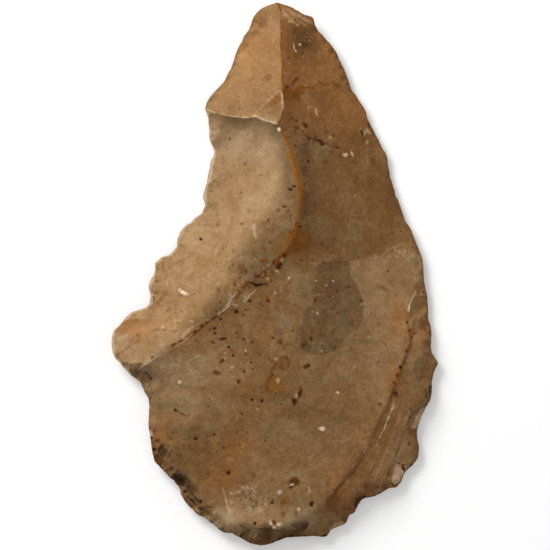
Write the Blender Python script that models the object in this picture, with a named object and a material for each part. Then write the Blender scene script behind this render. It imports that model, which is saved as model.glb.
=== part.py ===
"""A side scraper made on a large Levallois flake: one solid of flint, all in one piece.

The flake lies on its smooth lower face, with the scarred upper face up and its tip towards +Y.
The origin is on the ground, below the middle of its outline. Units are metres.

Its rims and ridges are drawn on a sheet seen from above, as a drawing of a stone tool is, in
sheet units with x to the right and y down. LENGTH and WIDTH stretch the sheet to real size. The
upper face is drawn as a map is, by spot heights in percent of THICKNESS with the smoothest surface
through them, and the scars, steps and edge chips are then taken off it.
"""

import math

import bmesh
import bpy
import numpy as np

# Overall sizes of the flake
LENGTH = 0.120
WIDTH = 0.0722
THICKNESS = 0.016

# Sizes of the edge and the relief
EDGE_SLOPE = math.tan(math.radians(62))
THINNEST_SLOPE = math.tan(math.radians(7))
STEP_REACH = 0.0018
RIDGE_STEP = 0.0009
RIDGE_STEP_REACH = 0.0022
CREASE_ROUNDING = 0.0004

# Sizes of the lower face
LIFT_SLOPE = 0.20
LIFT_EASE = 0.005
BULB_HEIGHT = 0.0013
BULB_RADIUS = 0.0095
RIPPLE_HEIGHT = 0.00009
RIPPLE_SPACING = 0.0085

# Numbers of rows and columns in the mesh
TIP_ROWS = 13
HOLLOW_ROWS = 34
BUTT_ROWS = 30
LEFT_COLUMNS = 16
RIGHT_COLUMNS = 31
LOWER_COLUMNS = 14
CROWDING = 0.55

# Corners of the drawing that the overall sizes stretch
SHEET_LEFT, SHEET_RIGHT = 112, 438
SHEET_TIP, SHEET_BUTT = 3, 545

# The left rim, from the tip to the corner, to the wing, and to the butt
LEFT_RIM_TIP = [(277, 3), (264, 7), (256, 14), (250, 27), (243, 38), (236, 52), (228, 73), (220, 84),
                (213, 93), (207, 102), (205, 109)]
LEFT_RIM_HOLLOW = [(205, 109), (207, 117), (209, 128), (211, 142), (214, 152), (210, 163), (207, 177),
                   (204, 192), (203, 198), (205, 204), (202, 212), (193, 219), (183, 228), (178, 237),
                   (175, 248), (170, 254), (161, 257), (155, 263), (154, 273), (149, 283), (150, 298),
                   (148, 304), (140, 309), (130, 313), (121, 323), (114, 331), (112, 344), (114, 357),
                   (121, 364), (131, 375)]
LEFT_RIM_BUTT = [(131, 375), (140, 384), (146, 397), (149, 412), (147, 431), (151, 443), (153, 457),
                 (160, 470), (171, 480), (178, 487), (183, 498), (188, 506), (197, 514), (208, 521),
                 (220, 532), (232, 534), (241, 539), (251, 544), (260, 545)]

# The long ridge, from the tip to the meeting with the step, and round to the wing
RIDGE_TIP = [(277, 3), (281, 13), (281, 42), (282, 68), (283, 92), (282, 110), (277, 125)]
RIDGE_HOLLOW = [(277, 125), (284, 137), (290, 151), (295, 170), (299, 188), (299, 210), (296, 228),
                (291, 242), (284, 254), (272, 266), (259, 277), (247, 285), (240, 293), (229, 303),
                (217, 315), (204, 327), (190, 338), (172, 350), (150, 360), (131, 375)]

# The right rim, from the tip, past the height of the meeting, past the wing's, and to the butt
RIGHT_RIM_TIP = [(277, 3), (293, 8), (303, 14), (313, 18), (316, 27), (325, 37), (333, 47), (341, 62),
                 (348, 77), (352, 88), (360, 102), (366, 113), (369, 122)]
RIGHT_RIM_HOLLOW = [(369, 122), (375, 134), (383, 146), (387, 157), (391, 177), (395, 191), (399, 203),
                    (404, 217), (411, 228), (416, 243), (422, 257), (424, 275), (427, 295), (429, 319),
                    (432, 335), (432, 349), (438, 363)]
RIGHT_RIM_BUTT = [(438, 363), (434, 374), (432, 390), (428, 405), (421, 416), (418, 432), (419, 446),
                  (417, 461), (404, 474), (400, 484), (396, 488), (389, 489), (377, 496), (364, 499),
                  (354, 514), (344, 524), (331, 530), (326, 537), (296, 537), (280, 539), (272, 543),
                  (260, 545)]

# Spot heights above the lift of the lower face, in percent of THICKNESS, at places on the sheet: along
# the ridge, on the tip's left slope, in the hollow with its crest, and on the broad back
RIDGE_SPOTS = [(277, 3, 3), (281, 14, 11), (281, 45, 33), (283, 92, 62), (277, 125, 74), (292, 158, 86),
               (300, 198, 96), (294, 236, 96), (267, 268, 88), (231, 303, 76), (190, 338, 58), (160, 356, 42),
               (131, 375, 28)]
TIP_SPOTS = RIDGE_SPOTS[:5] + [(254, 16, 3), (236, 53, 4), (213, 93, 5), (205, 109, 6), (260, 52, 21), (248, 97, 35)]
HOLLOW_SPOTS = RIDGE_SPOTS[4:] + [
    (277, 150, 79), (281, 178, 92), (275, 206, 99), (260, 224, 100), (246, 242, 98), (237, 262, 93), (226, 282, 86),
    (210, 302, 76), (192, 322, 64), (168, 344, 47), (209, 128, 5), (214, 152, 5), (205, 180, 5), (203, 205, 5),
    (178, 237, 5), (154, 270, 5), (149, 300, 5), (121, 323, 5), (112, 345, 5), (121, 366, 10), (243, 128, 31),
    (240, 145, 35), (243, 182, 42), (234, 215, 50), (207, 250, 46), (186, 290, 46), (158, 325, 36), (139, 350, 22)]
BACK_SPOTS = RIDGE_SPOTS + [
    (293, 8, 3), (316, 27, 4), (341, 62, 4), (369, 122, 4), (390, 173, 4), (404, 217, 5), (421, 254, 8), (427, 295, 13),
    (432, 335, 22), (436, 363, 30), (430, 400, 34), (417, 450, 38), (397, 487, 38), (360, 504, 36), (331, 530, 34),
    (297, 537, 32), (260, 545, 28), (215, 526, 24), (178, 488, 25), (152, 450, 26), (149, 412, 20), (312, 60, 23),
    (325, 120, 36), (340, 160, 42), (352, 205, 48), (355, 250, 56), (350, 300, 63), (335, 350, 67), (280, 320, 75),
    (240, 350, 69), (200, 380, 60), (190, 420, 56), (230, 430, 61), (290, 400, 69), (350, 400, 64), (390, 330, 46),
    (398, 285, 32), (270, 480, 57), (220, 490, 51), (330, 470, 57), (200, 460, 52)]

# The wave of the step's line between the tip's slope and the hollow: a share of the way, a drop on the sheet
LINE_WAVE = [(0, 0), (0.25, 2), (0.48, 1), (0.6, -0.5), (0.7, -3.3), (0.82, -2), (1, 0)]
WAVE_FADE = 0.004

# Creases of the upper face: a line, and how steeply the stone falls away on its lower right side
LOWER_RIGHT_CREASE = [(424, 287), (414, 314), (409, 342), (401, 367), (394, 385), (387, 402), (377, 422),
                      (367, 444), (354, 463), (340, 481), (326, 501), (310, 514), (294, 521), (280, 527),
                      (256, 528), (240, 537)]
LOWER_RIGHT_FALLS = [(287, 0.10), (342, 0.28), (444, 0.34), (501, 0.45), (521, 1.10), (537, 1.10)]
OUTER_CREASE = [(428, 404), (411, 410), (404, 428), (396, 446), (389, 462), (381, 478), (371, 497)]
OUTER_FALLS = [(404, 0.15), (497, 0.15)]

# Chips struck off the edge: a place on the rim, a half width in sheet units, a rise and a turn in degrees
CHIPS = [(141, 388, 13, 0.62, 10), (154, 455, 13, 0.66, 25), (177, 487, 10, 0.62, 15), (189, 506, 12, 0.70, 0),
         (206, 519, 9, 0.85, -15), (224, 532, 10, 0.75, 15), (246, 541, 14, 0.80, 0), (300, 538, 14, 0.95, 0),
         (424, 413, 10, 0.55, 0), (409, 468, 13, 0.50, 15), (395, 487, 9, 0.65, -10), (357, 509, 11, 0.70, 0),
         (337, 528, 11, 0.75, 0)]

# The outline of the flat middle of the lower face, and the middles of its bulb and of its ripples
FLAT_MIDDLE = [(266, 112), (298, 112), (342, 195), (372, 320), (362, 425), (318, 462), (238, 455), (205, 385),
               (205, 330), (232, 225), (266, 112)]
BULB_CENTRE = (288, 484)
STRIKING_POINT = (283, 541)


def placed(points):
    """Sheet points in metres: x to the right, y towards the tip."""
    sheet = np.array(points, float)
    x = (sheet[..., 0] - (SHEET_LEFT + SHEET_RIGHT) / 2) * WIDTH / (SHEET_RIGHT - SHEET_LEFT)
    y = ((SHEET_TIP + SHEET_BUTT) / 2 - sheet[..., 1]) * LENGTH / (SHEET_BUTT - SHEET_TIP)
    return np.stack([x, y], -1)


def sheet_y(place_y):
    """The sheet y of a y in metres."""
    return (SHEET_TIP + SHEET_BUTT) / 2 - place_y * (SHEET_BUTT - SHEET_TIP) / LENGTH


def sheet_length(units):
    """A length in sheet units, as metres across the flake."""
    return units * WIDTH / (SHEET_RIGHT - SHEET_LEFT)


def glide(spots, at):
    """A smooth curve through (place, value) spots: a cubic between each two, with averaged slopes."""
    place, value = np.array(spots, float).T
    slope = np.gradient(value, place)
    at = np.clip(at, place[0], place[-1])
    k = np.clip(np.searchsorted(place, at) - 1, 0, len(place) - 2)
    span = place[k + 1] - place[k]
    t = (at - place[k]) / span
    return ((2 * t**3 - 3 * t**2 + 1) * value[k] + (t**3 - 2 * t**2 + t) * span * slope[k]
            + (3 * t**2 - 2 * t**3) * value[k + 1] + (t**3 - t**2) * span * slope[k + 1])


def ease(t):
    """0 up to t = 0, 1 from t = 1, and a smooth S between."""
    t = np.clip(t, 0, 1)
    return t * t * (3 - 2 * t)


def lower_of(a, b, rounding):
    """The lower of two surfaces, with the crease between them rounded."""
    return 0.5 * (a + b - np.sqrt((a - b) ** 2 + rounding**2))


def evenly(points, rows):
    """A drawn line as that many spaces of equal length, in metres."""
    line = placed(points)
    run = np.concatenate([[0], np.cumsum(np.linalg.norm(np.diff(line, axis=0), axis=1))])
    at = np.linspace(0, run[-1], rows + 1)
    return np.stack([np.interp(at, run, line[:, 0]), np.interp(at, run, line[:, 1])], -1)


def rail(*sections):
    """Drawn sections end to end, each with its own number of rows."""
    pieces = [evenly(points, rows) for points, rows in sections]
    return np.concatenate([pieces[0]] + [piece[1:] for piece in pieces[1:]])


def nearest(points, line):
    """Distance from each point to a line, its side (positive on the left going along), and where."""
    start, run = line[:-1], np.diff(line, axis=0)
    offset = points[..., None, :] - start
    t = np.clip((offset * run).sum(-1) / (run**2).sum(-1), 0, 1)
    apart = offset - t[..., None] * run
    distance = np.linalg.norm(apart, axis=-1)
    best = distance.argmin(-1)
    side = run[..., 0] * offset[..., 1] - run[..., 1] * offset[..., 0]
    pick = np.take_along_axis
    chosen = best[..., None]
    on_line = start[best] + pick(t, chosen, -1) * run[best]
    return pick(distance, chosen, -1)[..., 0], np.sign(pick(side, chosen, -1))[..., 0], on_line


ROW_COUNTS = (TIP_ROWS, HOLLOW_ROWS, BUTT_ROWS)
LEFT_RIM = rail(*zip((LEFT_RIM_TIP, LEFT_RIM_HOLLOW, LEFT_RIM_BUTT), ROW_COUNTS))
RIGHT_RIM = rail(*zip((RIGHT_RIM_TIP, RIGHT_RIM_HOLLOW, RIGHT_RIM_BUTT), ROW_COUNTS))
RIDGE = rail((RIDGE_TIP, TIP_ROWS), (RIDGE_HOLLOW, HOLLOW_ROWS))
RIDGE_ROWS = len(RIDGE)
OUTLINE = np.concatenate([LEFT_RIM, RIGHT_RIM[-2::-1]])


def past_flat(points):
    """How far each place lies outside the flat middle of the lower face."""
    distance, side, _ = nearest(points, placed(FLAT_MIDDLE))
    return np.where(side > 0, distance, 0)


def lift(outside):
    """The rise of the lower face outside its flat middle: it starts softly and reaches LIFT_SLOPE."""
    return LIFT_SLOPE * (np.sqrt(outside**2 + LIFT_EASE**2) - LIFT_EASE)


def lower_height(points):
    """The smooth face below: its lift towards the rims, with the bulb and the ripples."""
    outside = past_flat(points)
    room = ease(outside / LIFT_EASE)
    bulb = np.linalg.norm(points - placed(BULB_CENTRE), axis=-1) / BULB_RADIUS
    ring = np.linalg.norm(points - placed(STRIKING_POINT), axis=-1) / RIPPLE_SPACING
    smooth = np.maximum(lift(outside) - BULB_HEIGHT * np.exp(-bulb**2) * room, 0)
    return smooth + RIPPLE_HEIGHT * (1 - np.cos(2 * math.pi * ring)) * room


def smooth_through(spots, points):
    """The smoothest surface through (x, y, height) spots: the shape of a thin plate pinned at them."""
    table = np.array(spots, float)
    pins = placed(table[:, :2]) / LENGTH
    count = len(pins)
    apart = ((pins[:, None] - pins) ** 2).sum(-1)
    plain = np.column_stack([np.ones(count), pins])
    system = np.block([[apart * np.log(apart + 1e-12), plain], [plain.T, np.zeros((3, 3))]])
    weights = np.linalg.solve(system, np.concatenate([table[:, 2], np.zeros(3)]))
    at = points / LENGTH
    apart = ((at[..., None, :] - pins) ** 2).sum(-1)
    return weights[count] + at @ weights[count + 1:] + (apart * np.log(apart + 1e-12)) @ weights[:count]


def highest_percent():
    """The top of the hollow's crest, which stands at THICKNESS."""
    x, y = np.meshgrid(np.arange(235, 300, 1.0), np.arange(185, 260, 1.0))
    return smooth_through(HOLLOW_SPOTS, placed(np.stack([x, y], -1))).max()


def plate(spots, points):
    """The real height of the smooth surface through some spots."""
    return lift(past_flat(points)) + THICKNESS * smooth_through(spots, points) / highest_percent()


def cut_back_to_edge(points, height):
    """The upper face with its edge cut back: it rises from the rim at EDGE_SLOPE at the most."""
    distance, _, _ = nearest(points, OUTLINE)
    under = lower_height(points)
    cut = lower_of(height, under + EDGE_SLOPE * distance, CREASE_ROUNDING)
    return np.maximum(cut, under + THINNEST_SLOPE * distance)


def crease(points, line, falls):
    """How far the stone falls away past a crease: its slope times the distance, rounded at the line."""
    distance, side, on_line = nearest(points, placed(line))
    past = np.where(side > 0, distance, -distance)
    slope = glide(falls, sheet_y(on_line[..., 1]))
    return slope * 0.5 * (past + np.sqrt(past**2 + CREASE_ROUNDING**2))


def inwards_from(centre, turn):
    """The direction from a place on the rim into the stone, turned by some degrees."""
    k = int(np.linalg.norm(OUTLINE - centre, axis=1).argmin())
    along = OUTLINE[(k + 1) % len(OUTLINE)] - OUTLINE[k - 1]
    inward = np.array([-along[1], along[0]]) / np.linalg.norm(along)
    c, s = math.cos(math.radians(turn)), math.sin(math.radians(turn))
    return np.array([inward[0] * c - inward[1] * s, inward[0] * s + inward[1] * c])


def chipped(points, height):
    """The upper face less its edge chips, each a flute that opens at the rim and rises inwards."""
    for x, y, half_width, rise, turn in CHIPS:
        centre, reach = placed((x, y)), sheet_length(half_width)
        inward = inwards_from(centre, turn)
        spot = (points - centre) / reach
        into = (spot @ inward).clip(0)
        sideways = spot @ np.array([-inward[1], inward[0]])
        flute = lower_height(centre) + rise * reach * (0.55 * into + 0.45 * into**2 + 0.9 * sideways**2)
        height = lower_of(height, flute, CREASE_ROUNDING / 2)
    return height


def crowded(columns):
    """That many spaces from 0 to 1, narrower towards both ends, where the edge and its chips are."""
    t = np.linspace(0, 1, columns + 1)
    return t - CROWDING * np.sin(2 * math.pi * t) / (2 * math.pi)


def between(start, end, shares):
    """Rows of points from one rail to another, at those shares of the way."""
    return start[:, None] + (end - start)[:, None] * shares[..., None]


def ridge_tops():
    """Heights along the ridge, cut back where it runs out at the rims."""
    return cut_back_to_edge(RIDGE, plate(BACK_SPOTS, RIDGE))


def left_face():
    """The tip's slope above the wavy line, the hollow below it, and the step between them."""
    left, ridge = LEFT_RIM[:RIDGE_ROWS], RIDGE
    shares = np.repeat(crowded(LEFT_COLUMNS)[None], RIDGE_ROWS, 0)
    points = between(left, ridge, shares)
    from_line = sheet_length(abs(sheet_y(ridge[:, 1]) - sheet_y(ridge[TIP_ROWS, 1]))) / WAVE_FADE
    points[..., 1] -= sheet_length(glide(LINE_WAVE, shares)) * np.exp(-from_line[:, None] ** 2)
    below = sheet_length(np.maximum(sheet_y(points[..., 1]) - sheet_y(points[TIP_ROWS, :, 1]), 0))
    below[:TIP_ROWS] = 0
    tip, hollow = plate(TIP_SPOTS, points), plate(HOLLOW_SPOTS, points)
    height = hollow + (tip - hollow) * np.exp(-below / STEP_REACH)
    tops = ridge_tops()
    height += (tops - height[:, -1])[:, None] * shares**6
    height = cut_back_to_edge(points, chipped(points, height))
    height[:, -1] = tops
    return np.concatenate([points, height[..., None]], -1)


def right_face():
    """The broad face right of the ridge and below it, down to the right rim and the butt."""
    near = np.concatenate([RIDGE, LEFT_RIM[RIDGE_ROWS:]])
    shares = np.repeat(crowded(RIGHT_COLUMNS)[None], len(near), 0)
    points = between(near, RIGHT_RIM, shares)
    height = plate(BACK_SPOTS, points)
    from_ridge, _, _ = nearest(points, RIDGE)
    along = ease((sheet_y(points[..., 1]) - 60) / 80) * ease(np.linalg.norm(points - RIDGE[-1], axis=-1) / 0.012)
    height -= RIDGE_STEP * along * (1 - np.exp(-from_ridge / RIDGE_STEP_REACH))
    height -= crease(points, LOWER_RIGHT_CREASE, LOWER_RIGHT_FALLS)
    height -= crease(points, OUTER_CREASE, OUTER_FALLS)
    height = cut_back_to_edge(points, chipped(points, height))
    height[:RIDGE_ROWS, 0] = ridge_tops()
    return np.concatenate([points, height[..., None]], -1)


def lower_face():
    """The smooth face below, from rim to rim."""
    shares = np.repeat(np.linspace(0, 1, LOWER_COLUMNS + 1)[None], len(LEFT_RIM), 0)
    points = between(LEFT_RIM, RIGHT_RIM, shares)
    return np.concatenate([points, lower_height(points)[..., None]], -1)


def add_sheet(mesh, grid, upwards):
    """Adds a grid of points to the mesh as quads that face up or down."""
    rows, columns = grid.shape[:2]
    corner = [mesh.verts.new(point) for point in grid.reshape(-1, 3)]
    for i in range(rows - 1):
        for j in range(columns - 1):
            k = i * columns + j
            loop = [corner[k], corner[k + columns], corner[k + columns + 1], corner[k + 1]]
            mesh.faces.new(loop if upwards else loop[::-1])


def flint_material():
    """Brown patinated flint with a waxy gloss."""
    material = bpy.data.materials.new("patinated_flint")
    material.use_nodes = True
    shader = material.node_tree.nodes["Principled BSDF"]
    shader.inputs["Base Color"].default_value = (0.33, 0.20, 0.10, 1)
    shader.inputs["Roughness"].default_value = 0.5
    shader.inputs["Metallic"].default_value = 0.0
    return material


def flint_flake():
    """The whole flake as one closed solid, its three faces welded along the rims and the ridge."""
    weld_distance = 1e-6
    sharp_angle = math.radians(24)
    mesh = bmesh.new()
    add_sheet(mesh, left_face(), upwards=True)
    add_sheet(mesh, right_face(), upwards=True)
    add_sheet(mesh, lower_face(), upwards=False)
    bmesh.ops.remove_doubles(mesh, verts=mesh.verts, dist=weld_distance)
    bmesh.ops.dissolve_degenerate(mesh, edges=mesh.edges, dist=weld_distance)
    bmesh.ops.triangulate(mesh, faces=mesh.faces)
    data = bpy.data.meshes.new("flint_flake")
    mesh.to_mesh(data)
    mesh.free()
    data.shade_smooth()
    data.set_sharp_from_angle(angle=sharp_angle)
    data.materials.append(flint_material())
    flake = bpy.data.objects.new("flint_flake", data)
    bpy.context.scene.collection.objects.link(flake)
    return flake


for old in list(bpy.data.objects):
    bpy.data.objects.remove(old)
flint_flake()
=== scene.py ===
# %% [markdown]
# # A side scraper made on a large flint flake
#
# The real object is one struck flake of flint, about as long as a hand is wide. Its upper face keeps
# the scars of the flakes that were knocked off before it, its edges are chipped to an edge for
# scraping, and thousands of years in the ground have stained it brown.
#
# The whole stone is one closed surface. It is drawn as a few lines on a sheet seen from above, as
# archaeologists draw stone tools, and the heights are worked out between those lines with numpy.
# The colours come from the same places, so a stain can follow a ridge and a chip can show fresh stone.

# %% The frame
import math

import bmesh
import bpy
import numpy as np
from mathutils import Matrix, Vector


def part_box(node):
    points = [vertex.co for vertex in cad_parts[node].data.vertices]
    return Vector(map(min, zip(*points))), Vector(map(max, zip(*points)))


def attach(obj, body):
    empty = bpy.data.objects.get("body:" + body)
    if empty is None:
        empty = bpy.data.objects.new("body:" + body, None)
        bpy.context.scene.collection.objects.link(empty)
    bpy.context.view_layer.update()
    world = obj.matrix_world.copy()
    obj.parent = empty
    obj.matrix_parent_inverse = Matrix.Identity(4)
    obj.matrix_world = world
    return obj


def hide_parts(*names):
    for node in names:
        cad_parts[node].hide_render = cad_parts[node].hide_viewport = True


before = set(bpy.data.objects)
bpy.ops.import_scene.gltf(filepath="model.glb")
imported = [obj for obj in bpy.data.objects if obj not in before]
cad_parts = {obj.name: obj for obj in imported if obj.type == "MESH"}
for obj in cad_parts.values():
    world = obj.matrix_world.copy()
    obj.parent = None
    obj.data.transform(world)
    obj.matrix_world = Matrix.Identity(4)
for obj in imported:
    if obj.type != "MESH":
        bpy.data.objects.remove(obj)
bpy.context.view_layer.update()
print("the frame's nodes:", list(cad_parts))

# %% [markdown]
# The sheet is the drawing that all the lines are given on. Its x runs to the right and its y runs
# down, in units that are about a fifth of a millimetre. The real length, width and thickness come
# from the solid in the frame, so the drawn lines stretch to fit it.

# %% The sheet and the real size
low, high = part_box("flint_flake")
LENGTH = high[1] - low[1]
WIDTH = high[0] - low[0]
THICKNESS = high[2] - low[2]
SHEET_LEFT, SHEET_RIGHT = 112, 438
SHEET_TIP, SHEET_BUTT = 3, 545
UNIT = WIDTH / (SHEET_RIGHT - SHEET_LEFT)
print("length, width, thickness in mm:", [round(s * 1000, 1) for s in (LENGTH, WIDTH, THICKNESS)])


def placed(points):
    """Sheet points in metres: x to the right of the sheet's middle, y up from it."""
    sheet = np.array(points, float)
    x = (sheet[..., 0] - (SHEET_LEFT + SHEET_RIGHT) / 2) * UNIT
    y = ((SHEET_TIP + SHEET_BUTT) / 2 - sheet[..., 1]) * LENGTH / (SHEET_BUTT - SHEET_TIP)
    return np.stack([x, y], -1)


def sheet_y(place_y):
    """The sheet y of a y in metres."""
    return (SHEET_TIP + SHEET_BUTT) / 2 - place_y * (SHEET_BUTT - SHEET_TIP) / LENGTH


# %% [markdown]
# Three long lines carry the whole shape: the left rim, the right rim and the ridge between the big
# hollow scar and the rest. Each is drawn in sections, so that the corners where the sections meet
# stay sharp. The rows of the mesh run from rim to rim across them.

# %% The rims and the ridge
LEFT_RIM_TIP = [
    (277, 3), (263, 8), (254, 16), (250, 27), (243, 38), (236, 53), (228, 73), (221, 84), (213, 93),
    (207, 102), (205, 109)]
LEFT_RIM_HOLLOW = [
    (205, 109), (207, 117), (209, 128), (210, 141), (214, 152), (210, 163), (208, 175), (204, 192),
    (203, 198), (205, 205), (202, 212), (193, 219), (183, 228), (178, 237), (175, 248), (170, 254),
    (161, 257), (155, 263), (154, 273), (149, 283), (150, 297), (148, 304), (140, 309), (130, 313),
    (121, 323), (114, 331), (112, 345), (115, 358), (122, 366), (131, 375)]
LEFT_RIM_BUTT = [
    (131, 375), (136, 379), (140, 383), (144, 391), (148, 399), (149, 412), (148, 430), (151, 443),
    (152, 450), (154, 460), (160, 468), (170, 478), (178, 488), (182, 497), (188, 505), (197, 514),
    (206, 519), (215, 526), (224, 533), (232, 534), (240, 538), (251, 543), (260, 545)]
RIDGE_TIP = [
    (277, 3), (281, 13), (281, 42), (282, 68), (283, 92), (282, 106), (280, 116), (277, 125)]
RIDGE_HOLLOW = [
    (277, 125), (283, 136), (288, 146), (292, 158), (296, 172), (299, 186), (300, 198), (299, 213),
    (297, 225), (294, 236), (289, 247), (283, 254), (275, 262), (267, 267), (262, 273), (255, 278),
    (249, 284), (243, 290), (237, 295), (231, 302), (218, 314), (204, 326), (190, 338), (175, 348),
    (160, 356), (146, 364), (131, 375)]
RIGHT_RIM_TIP = [
    (277, 3), (293, 8), (303, 14), (313, 18), (316, 27), (325, 37), (333, 47), (341, 62), (348, 77),
    (352, 88), (360, 102), (365, 110), (369, 122)]
RIGHT_RIM_HOLLOW = [
    (369, 122), (374, 131), (382, 145), (387, 157), (390, 173), (394, 189), (399, 202), (404, 217),
    (411, 228), (415, 240), (421, 254), (424, 275), (427, 295), (429, 319), (432, 335), (431, 348),
    (434, 355), (438, 363)]
RIGHT_RIM_BUTT = [
    (438, 363), (434, 373), (432, 390), (430, 400), (424, 411), (420, 421), (417, 432), (419, 446),
    (417, 460), (409, 469), (404, 474), (401, 482), (397, 487), (390, 488), (380, 494), (371, 498),
    (364, 499), (360, 504), (355, 513), (350, 516), (346, 523), (337, 527), (331, 530), (327, 536),
    (312, 536), (297, 537), (288, 538), (280, 540), (270, 544), (260, 545)]

# %% [markdown]
# A line drawn with a few points is turned into a smooth one with a cubic between each two points,
# the same curve that an F-curve in Blender's graph editor uses. One helper does it for everything
# here: for the lines on the sheet, and for heights that change along them.

# %% Smooth curves through a few spots


def glide(spots, at):
    """A smooth curve through (place, value) spots: a cubic between each two, with averaged slopes."""
    place, value = np.array(spots, float).T
    slope = np.gradient(value, place)
    at = np.clip(at, place[0], place[-1])
    k = np.clip(np.searchsorted(place, at) - 1, 0, len(place) - 2)
    span = place[k + 1] - place[k]
    t = (at - place[k]) / span
    return ((2 * t**3 - 3 * t**2 + 1) * value[k] + (t**3 - 2 * t**2 + t) * span * slope[k]
            + (3 * t**2 - 2 * t**3) * value[k + 1] + (t**3 - t**2) * span * slope[k + 1])


def ease(t):
    """0 up to t = 0, 1 from t = 1, and a smooth S between."""
    t = np.clip(t, 0, 1)
    return t * t * (3 - 2 * t)


def run_along(line):
    """How far each point of a line lies from its start, measured along it."""
    return np.concatenate([[0], np.cumsum(np.linalg.norm(np.diff(line, axis=0), axis=1))])


def flowing(points, rows):
    """A drawn line as a smooth curve in metres, cut into that many spaces of equal length."""
    line = placed(points)
    run = run_along(line)
    at = np.linspace(0, run[-1], rows + 1)
    return np.stack([glide(list(zip(run, line[:, 0])), at), glide(list(zip(run, line[:, 1])), at)], -1)


def rail(*sections):
    """Drawn sections end to end, each with its own number of rows."""
    pieces = [flowing(points, rows) for points, rows in sections]
    return np.concatenate([pieces[0]] + [piece[1:] for piece in pieces[1:]])


# %% [markdown]
# Broken stone is never quite smooth, and its unevenness must be the same each time the script runs.
# So the randomness is a formula: a fixed jumble of numbers for the corners of a grid, eased between
# them. Layers of it at halved sizes look like natural rock.

# %% Steady natural unevenness
LAYER_WEIGHT = 0.55
LAYER_FINER = 2.1


def corner_value(x, y, seed):
    """A steady value from -1 to 1 for each whole-numbered corner of a grid, from jumbled digits."""
    n = (x * 374761393 + y * 668265263 + seed * 362437) & 0xFFFFFFFF
    n = ((n ^ (n >> 13)) * 1274126177) & 0xFFFFFFFF
    return ((n ^ (n >> 16)) & 0xFFFF) / 32767.5 - 1


def drift(points, size, seed, layers=1):
    """Smooth unevenness from -1 to 1: corner values eased across squares of a size, with finer layers."""
    total, weight, sum_of_weights = 0, 1.0, 0.0
    for layer in range(layers):
        at = points / size + 100.5
        cell = np.floor(at).astype(np.int64)
        t = ease(at - cell)
        x, y = cell[..., 0], cell[..., 1]
        across, up = t[..., 0], t[..., 1]
        lower = corner_value(x, y, seed) * (1 - across) + corner_value(x + 1, y, seed) * across
        upper = corner_value(x, y + 1, seed) * (1 - across) + corner_value(x + 1, y + 1, seed) * across
        total = total + weight * (lower * (1 - up) + upper * up)
        sum_of_weights += weight
        weight, size, seed = weight * LAYER_WEIGHT, size / LAYER_FINER, seed + 17
    return total / sum_of_weights


# %% [markdown]
# The rims are nibbled all along by small breaks. Each rim's points are moved inwards a little, by an
# amount that drifts along it. They only move inwards, so the stone stays inside its true size.

# %% The rims with their small breaks
TIP_ROWS, HOLLOW_ROWS, BUTT_ROWS = 64, 178, 172
ROW_COUNTS = (TIP_ROWS, HOLLOW_ROWS, BUTT_ROWS)
NIBBLE_DEPTH = 0.00042
NIBBLE_LENGTH = 0.0021
NIBBLE_ENDS = 12
BITE_FROM = 0.15
WIDEST_SPARED = 0.001


def nibbled(line, inward_turn, seed):
    """A rim moved inwards by NIBBLE_DEPTH times the square of a drifting value, but not at its ends."""
    along = np.gradient(line, axis=0)
    along = along / np.linalg.norm(along, axis=1, keepdims=True)
    inward = np.stack([-along[:, 1], along[:, 0]], -1) * inward_turn
    bite = 0.5 + 0.5 * drift(line, NIBBLE_LENGTH, seed, layers=3)
    run = np.arange(len(line))
    fade = ease(run / NIBBLE_ENDS) * ease((len(line) - 1 - run) / NIBBLE_ENDS)
    depth = NIBBLE_DEPTH * (bite - BITE_FROM).clip(0, 1) ** 2 * 2 * fade
    extreme = np.maximum(1 - abs(abs(line[:, 0]) - WIDTH / 2) / WIDEST_SPARED, 0)
    return line + inward * (depth * (1 - extreme))[:, None]


LEFT_RIM = nibbled(rail(*zip((LEFT_RIM_TIP, LEFT_RIM_HOLLOW, LEFT_RIM_BUTT), ROW_COUNTS)), 1, 3)
RIGHT_RIM = nibbled(rail(*zip((RIGHT_RIM_TIP, RIGHT_RIM_HOLLOW, RIGHT_RIM_BUTT), ROW_COUNTS)), -1, 8)
RIDGE = rail((RIDGE_TIP, TIP_ROWS), (RIDGE_HOLLOW, HOLLOW_ROWS))
RIDGE_ROWS = len(RIDGE)
OUTLINE = np.concatenate([LEFT_RIM, RIGHT_RIM[-2::-1]])
RIDGE[-1] = LEFT_RIM[RIDGE_ROWS - 1]
print("rows:", len(LEFT_RIM), " outline points:", len(OUTLINE))

# %% [markdown]
# Two kinds of distance shape the stone: how far a place is from the nearest rim, and how far it lies
# past a drawn line. Numpy works both out for all places at once.

# %% Distances
BLOCK = 8000


def distance_to_points(points, others):
    """Distance from each place to the nearest of some points, a block of places at a time."""
    flat = points.reshape(-1, 2)
    near = np.empty(len(flat))
    for start in range(0, len(flat), BLOCK):
        block = flat[start:start + BLOCK]
        squared = (block**2).sum(1)[:, None] + (others**2).sum(1) - 2 * block @ others.T
        near[start:start + BLOCK] = np.sqrt(squared.min(1).clip(0))
    return near.reshape(points.shape[:-1])


def nearest(points, line):
    """Distance from each place to a line, its side (positive on the left going along), and where."""
    start, run = line[:-1], np.diff(line, axis=0)
    best = np.full(points.shape[:-1], np.inf)
    side = np.zeros_like(best)
    on_line = np.zeros_like(points)
    for a, d in zip(start, run):
        offset = points - a
        t = np.clip((offset @ d) / (d @ d), 0, 1)
        apart = np.linalg.norm(offset - t[..., None] * d, axis=-1)
        closer = apart < best
        best = np.where(closer, apart, best)
        side = np.where(closer, np.sign(d[0] * offset[..., 1] - d[1] * offset[..., 0]), side)
        on_line = np.where(closer[..., None], a + t[..., None] * d, on_line)
    return best, side, on_line


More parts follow.
